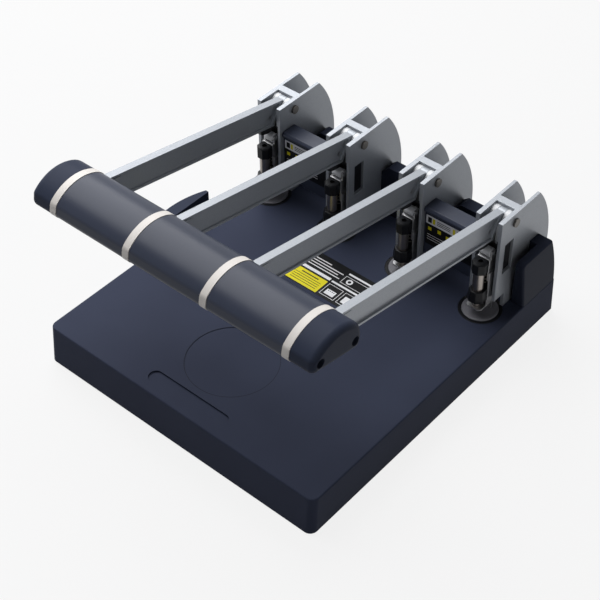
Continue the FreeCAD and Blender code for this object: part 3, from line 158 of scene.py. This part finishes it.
def powder_coat(name, colour, shade, roughness):
    """Silver polyester powder: tiny metal flakes under resin with a slight orange peel."""
    resin = {"Coat Weight": 0.06, "Coat Roughness": 0.3}
    material, tree, shader = new_material(name, colour, roughness, 0.32, **resin)
    spot = place(tree)
    # Flakes are about 0.05 mm in life and drawn at 0.35 mm, so that they still sparkle at this size.
    flakes = add_node(tree, "ShaderNodeTexVoronoi", {"Vector": spot}, {"Scale": 1 / (0.35 * MM)})
    peel = add_node(tree, "ShaderNodeTexNoise", {"Vector": spot}, {"Scale": 1 / (2.2 * MM), "Detail": 2.0})
    vary_colour(tree, shader, flakes.outputs["Color"], shade, colour)
    vary_roughness(tree, shader, peel.outputs[0], roughness - 0.04, roughness + 0.06)
    bump(tree, shader, peel.outputs[0], 0.03)
    return material


def worked_steel(name, colour, shade, roughness, stretch):
    """Bare steel with fine marks along the way it was rolled or ground."""
    material, tree, shader = new_material(name, colour, roughness, 1.0)
    marks = add_node(tree, "ShaderNodeTexNoise", {"Vector": place(tree, stretch)},
                     {"Scale": 1 / (0.5 * MM), "Detail": 4.0, "Roughness": 0.65})
    vary_colour(tree, shader, marks.outputs[0], shade, colour)
    vary_roughness(tree, shader, marks.outputs[0], roughness - 0.08, roughness + 0.12)
    bump(tree, shader, marks.outputs[0], 0.01)
    return material


def turned_plastic(name, colour, shade, centre_y, pitch_mm):
    """Plastic disc faced on a lathe: fine rings round each disc's centre and a dull face."""
    material, tree, shader = new_material(name, colour, 0.5, IOR=1.5)
    where = add_node(tree, "ShaderNodeTexCoord")
    parts = add_node(tree, "ShaderNodeSeparateXYZ", {0: where.outputs["Object"]})
    across = add_node(tree, "ShaderNodeMath", {0: parts.outputs["X"]}, {1: HEAD_PITCH, 2: 0.0},
                      operation="WRAP")
    off_x = add_node(tree, "ShaderNodeMath", {0: across.outputs[0]}, {1: HEAD_PITCH / 2},
                     operation="SUBTRACT")
    off_y = add_node(tree, "ShaderNodeMath", {0: parts.outputs["Y"]}, {1: centre_y}, operation="SUBTRACT")
    flat = add_node(tree, "ShaderNodeCombineXYZ", {"X": off_x.outputs[0], "Y": off_y.outputs[0]})
    radius = add_node(tree, "ShaderNodeVectorMath", {0: flat.outputs[0]}, operation="LENGTH")
    rings = add_node(tree, "ShaderNodeMath", {0: radius.outputs["Value"]},
                     {1: 2 * math.pi / (pitch_mm * MM)}, operation="MULTIPLY")
    wave = add_node(tree, "ShaderNodeMath", {0: rings.outputs[0]}, operation="SINE")
    level = add_node(tree, "ShaderNodeMapRange", {"Value": wave.outputs[0]},
                     {"From Min": -1.0, "From Max": 1.0})
    vary_colour(tree, shader, level.outputs[0], shade, colour)
    vary_roughness(tree, shader, level.outputs[0], 0.42, 0.55)
    bump(tree, shader, level.outputs[0], 0.05)
    return material


def printed(name, colour, shade, roughness):
    """Screen print or lacquer: an even film with the faint unevenness of the squeegee."""
    material, tree, shader = new_material(name, colour, roughness, IOR=1.5, **{"Specular IOR Level": 0.12})
    film = add_node(tree, "ShaderNodeTexNoise", {"Vector": place(tree, (1.0, 5.0, 1.0))},
                    {"Scale": 160.0, "Detail": 3.0})
    vary_colour(tree, shader, film.outputs[0], shade, colour)
    vary_roughness(tree, shader, film.outputs[0], roughness - 0.05, roughness + 0.05)
    return material


def make_finishes(settings):
    """All finishes of the punch, by name."""
    low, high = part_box("cutting_disc_1")
    disc_y = (low.y + high.y) / 2
    return {
        # ABS from a finely spark-eroded mould: dark navy with a dull, even grain.
        "housing": moulded_plastic("moulded_abs_navy", settings.housing, "#2d3140", 0.5, 0.7, 0.05, 0.02),
        # The same ABS, darker: a thin line of painted shade along the edge of the round field.
        "line": moulded_plastic("moulded_abs_painted_edge_shade", "#1b1e28", "#181b24", 0.5, 0.7, 0.05, 0.05),
        # ABS from a fine satin mould: slate blue and nearly without shine.
        "slate": moulded_plastic("satin_abs_slate", settings.slate, "#292e3b", 0.42, 0.5, 0.02, 0.02),
        # The same ABS as the slate with a darker colour: painted shade that keeps the cover behind the heads
        # dark.
        "cover": moulded_plastic("satin_abs_slate_painted_shade", "#272b38", "#222632", 0.42, 0.5, 0.02, 0.02),
        # The same ABS from a smoother mould: a weak sheen on the rounded ends.
        "cap": moulded_plastic("fine_abs_slate", settings.slate, "#292e3b", 0.38, 0.5, 0.01, CAP_GLOSS),
        # The same ABS from a polished mould: a soft long highlight where hands hold it.
        "grip": moulded_plastic("polished_abs_slate", settings.slate, "#292e3b", 0.34, 0.5, 0.01, 0.16),
        # Warm white ABS with a coarser grain: bright, matt bands between the grips.
        "rings": moulded_plastic("grained_abs_white", settings.rings, "#b6b2ae", 0.5, 0.8, 0.08, 0.4),
        # Black acetal as moulded: waxy and slightly glossy.
        "acetal": moulded_plastic("black_acetal", "#17181b", "#111215", 0.34, 0.6, 0.01, 0.18, 1.48),
        # Natural nylon as moulded: a cool milky white with a soft shine.
        "nylon": moulded_plastic("natural_nylon", "#c6c8cb", "#b9bbbf", 0.4, 1.1, 0.01, 0.5),
        # Moulded black rubber: dull and dark from every side.
        "rubber": moulded_plastic("moulded_rubber", "#1b1b1c", "#141415", 0.75, 0.9, 0.04, 0.3, 1.52),
        # Silver powder coat on castings and channels: flat silver grey with a faint sparkle.
        "coat": powder_coat("silver_powder_coat", settings.coat, "#8b9097", 0.42),
        # Black powder coat on steel: dark with a slight orange peel.
        "black_steel": powder_coat("black_coated_steel", "#1d1e21", "#141518", 0.5),
        # Cold-rolled sheet steel: bright, with fine upright rolling marks.
        "sheet": worked_steel("rolled_sheet_steel", "#c8c8ca", "#a8a9ab", 0.42, (1.0, 1.0, 0.06)),
        # Ground tool steel: sharp highlights broken by rings from the grinding wheel.
        "ground": worked_steel("ground_tool_steel", "#a8a19b", "#89827d", 0.3, (1.0, 1.0, 8.0)),
        # Zinc plating: cool grey metal with an even, slightly cloudy shine.
        "zinc": worked_steel("zinc_plated_steel", "#b4b6b8", "#989a9e", 0.34, (1.0, 1.0, 1.0)),
        # Oil-tempered wire and pins: a brownish dark steel.
        "wire": worked_steel("oil_tempered_wire", "#716e6a", "#585552", 0.36, (1.0, 1.0, 1.0)),
        # Extruded aluminium: pale metal with long die lines across the handle.
        "alloy": worked_steel("extruded_aluminium", "#c9cbce", "#b0b3b8", 0.35, (0.05, 1.0, 1.0)),
        # Faced grey plastic: a dull disc with fine turning rings.
        "disc": turned_plastic("turned_grey_plastic", settings.disc, "#5c5c62", disc_y, 1.3),
        # Black lacquer: the smooth dark ground under the prints.
        "label_black": printed("black_lacquer", "#0f1013", "#0b0c0e", 0.4),
        # Yellow screen print: a flat, strong colour.
        "label_yellow": printed("yellow_screen_print", "#d2c81c", "#c8bc16", 0.45),
        # White screen print: flat and slightly grey over the dark ground.
        "label_white": printed("white_screen_print", "#d9dadd", "#cfd0d4", 0.45),
    }


FINISH_CACHE = {}


def finish(name):
    """The named finish, made once from the scene's settings."""
    if not FINISH_CACHE:
        FINISH_CACHE.update(make_finishes(bpy.context.scene.punch_finishes))
    return FINISH_CACHE[name]


# ---------------------------------------------------------------- pieces
def dress(node, finish_name, width=0.0, segments=2):
    """Gives a CAD node its finish and breaks its sharp edges to the given width."""
    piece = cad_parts[node]
    piece.data.materials.clear()
    piece.data.materials.append(finish(finish_name))
    if width:
        weld = piece.modifiers.new("weld", "WELD")
        weld.merge_threshold = CAD_WELD
        edge = piece.modifiers.new("edge", "BEVEL")
        edge.width = width
        edge.segments = segments
        edge.limit_method = "ANGLE"
        edge.angle_limit = BEVEL_ANGLE
        edge.use_clamp_overlap = True
        tidy = piece.modifiers.new("tidy", "WELD")
        tidy.merge_threshold = BEVEL_WELD
        shading = piece.modifiers.new("shading", "WEIGHTED_NORMAL")
        shading.weight = FLAT_WEIGHT


def mesh_piece(name, builder, finish_name, body):
    """A new mesh object from a bmesh, on its body and in its material slot."""
    mesh = bpy.data.meshes.new(name)
    builder.to_mesh(mesh)
    builder.free()
    mesh.materials.append(finish(finish_name))
    piece = bpy.data.objects.new(name, mesh)
    bpy.context.scene.collection.objects.link(piece)
    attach(piece, body)
    return piece


def add_slab(builder, corners, z0, z1):
    """Flat slab on an outline of plan points, from z0 to z1."""
    low = [builder.verts.new((x, y, z0)) for x, y in corners]
    high = [builder.verts.new((x, y, z1)) for x, y in corners]
    builder.faces.new(low[::-1])
    builder.faces.new(high)
    count = len(corners)
    for i in range(count):
        j = (i + 1) % count
        builder.faces.new((low[i], low[j], high[j], high[i]))


def rectangle(x0, x1, y0, y1):
    """Plan points of a rectangle, anticlockwise."""
    return [(x0, y0), (x1, y0), (x1, y1), (x0, y1)]


def deck_print(name, finish_name, fields, films=1):
    """Flat fields on the deck plate, in mm: x0, x1, y0, y1 from the plate's front left corner."""
    low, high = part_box("deck_plate")
    film = bpy.context.scene.punch_details.print_height
    builder = bmesh.new()
    for x0, x1, y0, y1 in fields:
        corners = rectangle(low.x + x0 * MM, low.x + x1 * MM, low.y + y0 * MM, low.y + y1 * MM)
        add_slab(builder, corners, high.z + (films - 1) * film, high.z + films * film)
    mesh_piece(name, builder, finish_name, "base")


def fascia_print(name, cover, finish_name, fields, films=1):
    """Flat fields on a bridge cover, in mm: x0, x1 from its left end, then two depths from its top."""
    low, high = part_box(cover)
    film = bpy.context.scene.punch_details.print_height
    face = low.y + FASCIA_BEHIND_LIP
    builder = bmesh.new()
    for x0, x1, down, lower in fields:
        corners = rectangle(low.x + x0 * MM, low.x + x1 * MM, face - films * film, face - (films - 1) * film)
        add_slab(builder, corners, high.z - lower * MM, high.z - down * MM)
    mesh_piece(name, builder, finish_name, "base")


def circle(builder, x, y, radius, z, count):
    """New vertices on a level circle."""
    turns = [2 * math.pi * i / count for i in range(count)]
    return [builder.verts.new((x + radius * math.cos(t), y + radius * math.sin(t), z)) for t in turns]


def add_ring(builder, x, y, inner, outer, z0, z1, count=28):
    """Flat washer-shaped slab."""
    loops = []
    for radius, z in ((inner, z0), (outer, z0), (outer, z1), (inner, z1)):
        loops.append(circle(builder, x, y, radius, z, count))
    for a, b in zip(loops, loops[1:] + loops[:1]):
        for i in range(count):
            j = (i + 1) % count
            builder.faces.new((a[i], a[j], b[j], b[i]))


def coil(centre_x, centre_y, z0, z1, radius, wire, turns, steps=28, sides=8):
    """Closed tube along a helix."""
    builder = bmesh.new()
    rings = []
    count = int(turns * steps)
    for i in range(count + 1):
        turn = 2 * math.pi * i / steps
        level = z0 + wire + (z1 - z0 - 2 * wire) * i / count
        out = Vector((math.cos(turn), math.sin(turn), 0))
        middle = Vector((centre_x, centre_y, level)) + out * radius
        loop = []
        for k in range(sides):
            around = 2 * math.pi * k / sides
            beside = out * wire * math.cos(around)
            above = Vector((0, 0, wire * math.sin(around)))
            loop.append(builder.verts.new(middle + beside + above))
        rings.append(loop)
    for a, b in zip(rings, rings[1:]):
        for k in range(sides):
            m = (k + 1) % sides
            builder.faces.new((a[k], a[m], b[m], b[k]))
    builder.faces.new(rings[0][::-1])
    builder.faces.new(rings[-1])
    bmesh.ops.recalc_face_normals(builder, faces=builder.faces)
    for face in builder.faces:
        face.smooth = len(face.verts) == 4
    return builder


# ---------------------------------------------------------------- settings
class PunchFinishSettings(bpy.types.PropertyGroup):
    """Colours of the main finishes, as sRGB hex values."""

    housing: StringProperty(name="Housing", description="Colour of the moulded base", default="#353a4a")
    slate: StringProperty(name="Handle and covers", description="Colour of grips, caps, guide and bridges",
                          default="#2f3443")
    rings: StringProperty(name="Rings", description="Colour of the light rings on the handle",
                          default="#c9c5c1")
    coat: StringProperty(name="Powder coat", description="Colour of heads and arms", default="#9ca0a6")
    disc: StringProperty(name="Discs", description="Colour of the cutting discs", default="#6c6c72")


class PunchDetailSettings(bpy.types.PropertyGroup):
    """Sizes of the edge breaks and printed details."""

    edge: FloatProperty(name="Edge", description="Width of the broken edges on moulded parts",
                        default=0.5 * MM, min=0.0, max=2 * MM, precision=5, unit="LENGTH")
    metal_edge: FloatProperty(name="Metal edge", description="Width of the broken edges on metal parts",
                              default=0.3 * MM, min=0.0, max=2 * MM, precision=5, unit="LENGTH")
    print_height: FloatProperty(name="Print", description="Height of a printed film",
                                default=0.04 * MM, min=0.01 * MM, max=0.3 * MM, precision=5, unit="LENGTH")
    spring_turns: FloatProperty(name="Spring turns", description="Turns of each return spring", default=5.5,
                                min=2.0, max=12.0)


class PunchStageSettings(bpy.types.PropertyGroup):
    """Camera and lights."""

    azimuth: FloatProperty(name="Azimuth", description="Direction of view round the object",
                           default=math.radians(41.165), subtype="ANGLE", unit="ROTATION")
    elevation: FloatProperty(name="Elevation", description="Height of view above the horizon",
                             default=math.radians(43.928), subtype="ANGLE", unit="ROTATION")
    roll: FloatProperty(name="Roll", description="Tilt of the picture",
                        default=math.radians(-0.677), subtype="ANGLE", unit="ROTATION")
    distance: FloatProperty(name="Distance", description="Camera to its target",
                            default=1.252015, unit="LENGTH")
    target: FloatVectorProperty(name="Target", description="Point that the camera looks at",
                                default=(0.009398, -0.017412, 0.059892), subtype="TRANSLATION", unit="LENGTH")
    lens: FloatProperty(name="Lens", description="Focal length",
                        default=88.792, min=10.0, max=300.0, unit="CAMERA")
    key: FloatProperty(name="Key light", description="Power of the overhead softbox",
                       default=74.0, unit="POWER")
    fill: FloatProperty(name="Fill light", description="Power of the side softbox",
                        default=2.6, unit="POWER")
    sky: FloatProperty(name="Sky", description="Strength of the plain surroundings", default=0.08)


# ---------------------------------------------------------------- operators
class PUNCH_OT_base(bpy.types.Operator):
    """Finish the moulded base, its bottom plate, feet and screws"""

    bl_idname = "punch.base"
    bl_label = "Base"

    def execute(self, context):
        edge = context.scene.punch_details.edge
        dress("base_housing", "housing", edge)
        dress("base_plate", "black_steel")
        dress("base_beam", "black_steel")
        dress("rubber_feet", "rubber")
        dress("housing_screws", "zinc")
        dress("disc_seats", "acetal", 0.2 * MM)
        low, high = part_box("base_housing")
        # A thin dark ring on the deck paints the shade along the edge of the round field.
        painted_shade_line = bmesh.new()
        add_ring(painted_shade_line, 0.0, low.y + ROUNDEL_FROM_FRONT, ROUNDEL_RADIUS, ROUNDEL_RADIUS + ROUNDEL_LINE,
                 high.z, high.z + ROUNDEL_LINE_HEIGHT, ROUNDEL_SIDES)
        mesh_piece("roundel_painted_shade_line", painted_shade_line, "line", "base")
        return {"FINISHED"}


class PUNCH_OT_label(bpy.types.Operator):
    """Print the plain colour fields and the punched-sheet sign on the deck plate"""

    bl_idname = "punch.label"
    bl_label = "Deck plate"

    def execute(self, context):
        dress("deck_plate", "label_black", 0.1 * MM)
        deck_print("label_yellow_field", "label_yellow", [(1.0, 36.0, 1.0, 18.5)])
        rules = [(4.0, 33.0, y, y + 0.6) for y in (4.0, 6.6, 9.2, 11.8)] + [(9.0, 28.0, 14.6, 15.8)]
        deck_print("label_dark_rules", "label_black", rules, 2)
        bars = [(1.0, 36.0, 20.6, 23.8), (44.0, 73.0, 37.4, 39.4), (38.0, 73.0, 20.6, 22.6)]
        ends = ((41.0, 27.2), (37.0, 30.4), (41.0, 33.6), (25.0, 36.8))
        lines = [(3.0, x, y, y + 1.0) for x, y in ends]
        panels = [(38.5, 54.5, 3.0, 18.0), (57.0, 73.0, 3.0, 18.0), (44.0, 73.0, 25.0, 35.0)]
        deck_print("label_light_fields", "label_white", bars + lines + panels)
        insides = [(x0 + 0.5, x1 - 0.5, y0 + 0.5, y1 - 0.5) for x0, x1, y0, y1 in panels]
        deck_print("label_panel_insides", "label_black", insides, 2)
        deck_print("label_sheets", "label_white", [(41.5, 51.5, 5.5, 12.0), (60.0, 70.0, 5.5, 14.0)], 3)
        holes = [(x, x + 1.0, 10.0, 11.0) for x in (43.0, 45.0, 47.0, 49.0)]
        deck_print("label_sheet_holes", "label_black", holes, 4)
        low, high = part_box("deck_plate")
        film = context.scene.punch_details.print_height
        ring = bmesh.new()
        add_ring(ring, low.x + 51.0 * MM, low.y + 30.0 * MM, 1.6 * MM, 3.2 * MM,
                 high.z + 2 * film, high.z + 3 * film)
        mesh_piece("label_ring", ring, "label_white", "base")
        return {"FINISHED"}


class PUNCH_OT_heads(bpy.types.Operator):
    """Finish the four punching heads, their pins, spacers and bolts"""

    bl_idname = "punch.heads"
    bl_label = "Heads"

    def execute(self, context):
        edge = context.scene.punch_details.metal_edge
        for number in HEAD_NUMBERS:
            dress(f"head_frame_{number}", "coat", edge)
        dress("head_bolts", "zinc", 0.2 * MM)
        dress("fulcrum_pins", "wire")
        dress("pin_clips", "black_steel")
        dress("pin_spacers", "nylon", 0.2 * MM)
        dress("guide_blocks", "acetal", 0.3 * MM)
        return {"FINISHED"}


class PUNCH_OT_covers(bpy.types.Operator):
    """Finish the rear cover and the two bridge covers, with their plain light strips"""

    bl_idname = "punch.covers"
    bl_label = "Covers"

    def execute(self, context):
        # The rear cover's darker slate is painted shade.
        dress("rear_cover", "cover", 2.4 * MM, 3)
        for side in ("left", "right"):
            cover = f"bridge_cover_{side}"
            dress(cover, "grip", 0.8 * MM, 3)
            fascia_print(f"bridge_strip_{side}", cover, "label_white", [(1.5, 51.7, 8.2, 17.3)])
            fascia_print(f"bridge_field_{side}", cover, "label_black", [(1.5, 51.7, 17.6, 40.0)])
            squares = [(x, x + 2.5, 9.8, 15.6) for x in (8.5, 29.5)]
            marks = [(x, x + 3.6, z, z + 3.6) for x, z in ((4.0, 20.4), (14.0, 19.6), (23.0, 21.4))]
            fascia_print(f"bridge_squares_{side}", cover, "label_yellow", squares + marks, 2)
            rules = [(x, x + 14.0, z, z + 0.7) for x in (13.0, 34.0) for z in (10.6, 12.4, 14.2)]
            rules += [(3.5, 7.5, 9.8, 15.6)]
            fascia_print(f"bridge_dark_rules_{side}", cover, "label_black", rules, 2)
            short = [(29.0, 44.0, z, z + 0.5) for z in (20.4, 22.6, 24.8)]
            pale = short + [(3.5, 40.0, z, z + 0.5) for z in (28.6, 31.2, 33.8)]
            fascia_print(f"bridge_pale_rules_{side}", cover, "label_white", pale, 2)
        return {"FINISHED"}


class PUNCH_OT_punch_units(bpy.types.Operator):
    """Finish the blades, holders, carriages, rollers, bushes and strippers"""

    bl_idname = "punch.punch_units"
    bl_label = "Punch units"

    def execute(self, context):
        edge = context.scene.punch_details.metal_edge
        for number in HEAD_NUMBERS:
            dress(f"blade_{number}", "ground")
            dress(f"blade_holder_{number}", "acetal", 0.4 * MM)
            dress(f"carriage_{number}", "sheet", edge)
            dress(f"roller_{number}", "nylon", 0.2 * MM)
        dress("blade_bushes", "acetal", 0.4 * MM)
        dress("strippers", "sheet", edge)
        return {"FINISHED"}


class PUNCH_OT_springs(bpy.types.Operator):
    """Coil the round-wire return springs between bushes and holders"""

    bl_idname = "punch.springs"
    bl_label = "Return springs"

    def execute(self, context):
        turns = context.scene.punch_details.spring_turns
        low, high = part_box("return_springs")
        for number in HEAD_NUMBERS:
            a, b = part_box(f"roller_{number}")
            x, y = (a.x + b.x) / 2, (a.y + b.y) / 2
            builder = coil(x, y, low.z, high.z, SPRING_RADIUS, SPRING_WIRE, turns)
            spring = mesh_piece(f"return_spring_{number}", builder, "wire", "base")
            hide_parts("return_springs")
            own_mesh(spring)
        return {"FINISHED"}


class PUNCH_OT_discs(bpy.types.Operator):
    """Finish the turned cutting discs"""

    bl_idname = "punch.discs"
    bl_label = "Cutting discs"

    def execute(self, context):
        for number in HEAD_NUMBERS:
            dress(f"cutting_disc_{number}", "disc", 0.25 * MM)
        return {"FINISHED"}


class PUNCH_OT_arms(bpy.types.Operator):
    """Finish the channel arms, cams and bolts"""

    bl_idname = "punch.arms"
    bl_label = "Arms and cams"

    def execute(self, context):
        edge = context.scene.punch_details.metal_edge
        for number in HEAD_NUMBERS:
            dress(f"arm_{number}", "coat", edge)
        dress("cam_plates", "black_steel", edge)
        dress("arm_bolts", "zinc")
        return {"FINISHED"}


class PUNCH_OT_handle(bpy.types.Operator):
    """Finish the grips, rings, end caps, core and tie rods of the handle"""

    bl_idname = "punch.handle"
    bl_label = "Handle"

    def execute(self, context):
        edge = context.scene.punch_details.edge
        for node in ("grip_left", "grip_middle", "grip_right"):
            dress(node, "grip", 0.6 * MM)
        for node in ("end_cap_left", "end_cap_right"):
            dress(node, "cap", edge)
        dress("handle_rings", "rings", 0.3 * MM)
        dress("handle_core", "alloy")
        dress("tie_rods", "zinc")
        dress("cap_screws", "black_steel")
        return {"FINISHED"}


class PUNCH_OT_guide(bpy.types.Operator):
    """Finish the sliding side guide and its bar"""

    bl_idname = "punch.guide"
    bl_label = "Side guide"

    def execute(self, context):
        dress("guide_stop", "slate", 0.8 * MM, 3)
        dress("guide_bar", "sheet", 0.3 * MM)
        return {"FINISHED"}


class PUNCH_OT_stage(bpy.types.Operator):
    """Set the camera, soft lights, plain floor and backdrop"""

    bl_idname = "punch.stage"
    bl_label = "Stage"

    def execute(self, context):
        stage = context.scene.punch_stage
        self.add_camera(context, stage)
        self.add_floor(context)
        self.add_lights(context, stage)
        context.scene.view_settings.view_transform = "Standard"
        return {"FINISHED"}

    def add_camera(self, context, stage):
        a, e, r = stage.azimuth, stage.elevation, stage.roll
        back = Vector((math.sin(a) * math.cos(e), -math.cos(a) * math.cos(e), math.sin(e)))
        right = Vector((math.cos(a), math.sin(a), 0.0))
        up = back.cross(right)
        tilted_right = math.cos(r) * right + math.sin(r) * up
        tilted_up = -math.sin(r) * right + math.cos(r) * up
        camera = bpy.data.objects.new("camera", bpy.data.cameras.new("camera"))
        context.scene.collection.objects.link(camera)
        camera.data.sensor_width = 36.0
        camera.data.lens = stage.lens
        camera.data.clip_start = 0.05
        turn = Matrix((tilted_right, tilted_up, back)).transposed()
        camera.matrix_world = Matrix.Translation(Vector(stage.target) + back * stage.distance) @ turn.to_4x4()
        context.scene.camera = camera

    def add_floor(self, context):
        """A sheet of pale paper that runs from the floor up behind the object on every side."""
        material = bpy.data.materials.new("pale_paper")
        material.use_nodes = True
        tree = material.node_tree
        tree.nodes.clear()
        paper = add_node(tree, "ShaderNodeBsdfPrincipled",
                         inputs={"Base Color": linear(PAPER_COLOUR), "Roughness": 0.9})
        white = add_node(tree, "ShaderNodeEmission", inputs={"Color": (1.0, 1.0, 1.0, 1.0), "Strength": 1.0})
        path = add_node(tree, "ShaderNodeLightPath")
        rays = [path.outputs[f"Is {kind} Ray"] for kind in ("Camera", "Glossy", "Transmission")]
        seen = add_node(tree, "ShaderNodeMath", {0: rays[0], 1: rays[1]}, operation="MAXIMUM")
        through = add_node(tree, "ShaderNodeMath", {0: seen.outputs[0], 1: rays[2]}, operation="MAXIMUM")
        share = add_node(tree, "ShaderNodeMath", {0: through.outputs[0]}, {1: PAPER_WHITE},
                         operation="MULTIPLY")
        both = add_node(tree, "ShaderNodeMixShader",
                        {0: share.outputs[0], 1: paper.outputs[0], 2: white.outputs[0]})
        add_node(tree, "ShaderNodeOutputMaterial", {"Surface": both.outputs[0]})
        builder = bmesh.new()
        centre = builder.verts.new((0, 0, -SWEEP_DROP))
        rings = [circle(builder, 0, 0, radius, height - SWEEP_DROP, SWEEP_SIDES)
                 for radius, height in SWEEP_PROFILE]
        for i in range(SWEEP_SIDES):
            j = (i + 1) % SWEEP_SIDES
            builder.faces.new((centre, rings[0][i], rings[0][j]))
            for a, b in zip(rings, rings[1:]):
                builder.faces.new((a[i], b[i], b[j], a[j]))
        mesh = bpy.data.meshes.new("paper_sweep")
        builder.to_mesh(mesh)
        builder.free()
        for polygon in mesh.polygons:
            polygon.use_smooth = True
        mesh.materials.append(material)
        floor = bpy.data.objects.new("paper_sweep", mesh)
        context.scene.collection.objects.link(floor)

    def add_lights(self, context, stage):
        softboxes = (("overhead_softbox", stage.key, (-0.95, 0.3, 1.55), 2.0),
                     ("side_softbox", stage.fill, (1.7, -0.5, 0.9), 1.0))
        for name, power, spot, size in softboxes:
            lamp = bpy.data.lights.new(name, "AREA")
            lamp.energy = power
            lamp.size = size
            light = bpy.data.objects.new(name, lamp)
            context.scene.collection.objects.link(light)
            light.location = spot
            aim = LIT_POINT - Vector(spot)
            light.rotation_euler = aim.to_track_quat("-Z", "Y").to_euler()
        world = bpy.data.worlds.new("plain_surroundings")
        context.scene.world = world
        world.use_nodes = True
        tree = world.node_tree
        tree.nodes.clear()
        path = add_node(tree, "ShaderNodeLightPath")
        strength = add_node(tree, "ShaderNodeMapRange", {"Value": path.outputs["Is Camera Ray"]},
                            {"To Min": stage.sky, "To Max": 1.0})
        sky = add_node(tree, "ShaderNodeBackground", {"Strength": strength.outputs["Result"]},
                       {"Color": (1.0, 1.0, 1.0, 1.0)})
        add_node(tree, "ShaderNodeOutputWorld", {"Surface": sky.outputs[0]})


class PUNCH_PT_panel(bpy.types.Panel):
    """Lists the pieces of the punch and its stage"""

    bl_idname = "PUNCH_PT_panel"
    bl_label = "Lever punch"
    bl_space_type = "VIEW_3D"
    bl_region_type = "UI"
    bl_category = "Punch"

    def draw(self, context):
        column = self.layout.column()
        for operator in OPERATORS:
            column.operator(operator.bl_idname)
        for group in (context.scene.punch_finishes, context.scene.punch_details, context.scene.punch_stage):
            for name in group.__annotations__:
                column.prop(group, name)


SETTINGS = (PunchFinishSettings, PunchDetailSettings, PunchStageSettings)
OPERATORS = (PUNCH_OT_base, PUNCH_OT_label, PUNCH_OT_heads, PUNCH_OT_covers, PUNCH_OT_punch_units,
             PUNCH_OT_springs, PUNCH_OT_discs, PUNCH_OT_arms, PUNCH_OT_handle, PUNCH_OT_guide,
             PUNCH_OT_stage)


def register():
    for item in SETTINGS + OPERATORS + (PUNCH_PT_panel,):
        bpy.utils.register_class(item)
    bpy.types.Scene.punch_finishes = PointerProperty(type=PunchFinishSettings)
    bpy.types.Scene.punch_details = PointerProperty(type=PunchDetailSettings)
    bpy.types.Scene.punch_stage = PointerProperty(type=PunchStageSettings)


def unregister():
    del bpy.types.Scene.punch_stage
    del bpy.types.Scene.punch_details
    del bpy.types.Scene.punch_finishes
    for item in reversed(SETTINGS + OPERATORS + (PUNCH_PT_panel,)):
        bpy.utils.unregister_class(item)


def main():
    register()
    for operator in OPERATORS:
        group, name = operator.bl_idname.split(".")
        getattr(getattr(bpy.ops, group), name)()


if __name__ == "__main__":
    main()
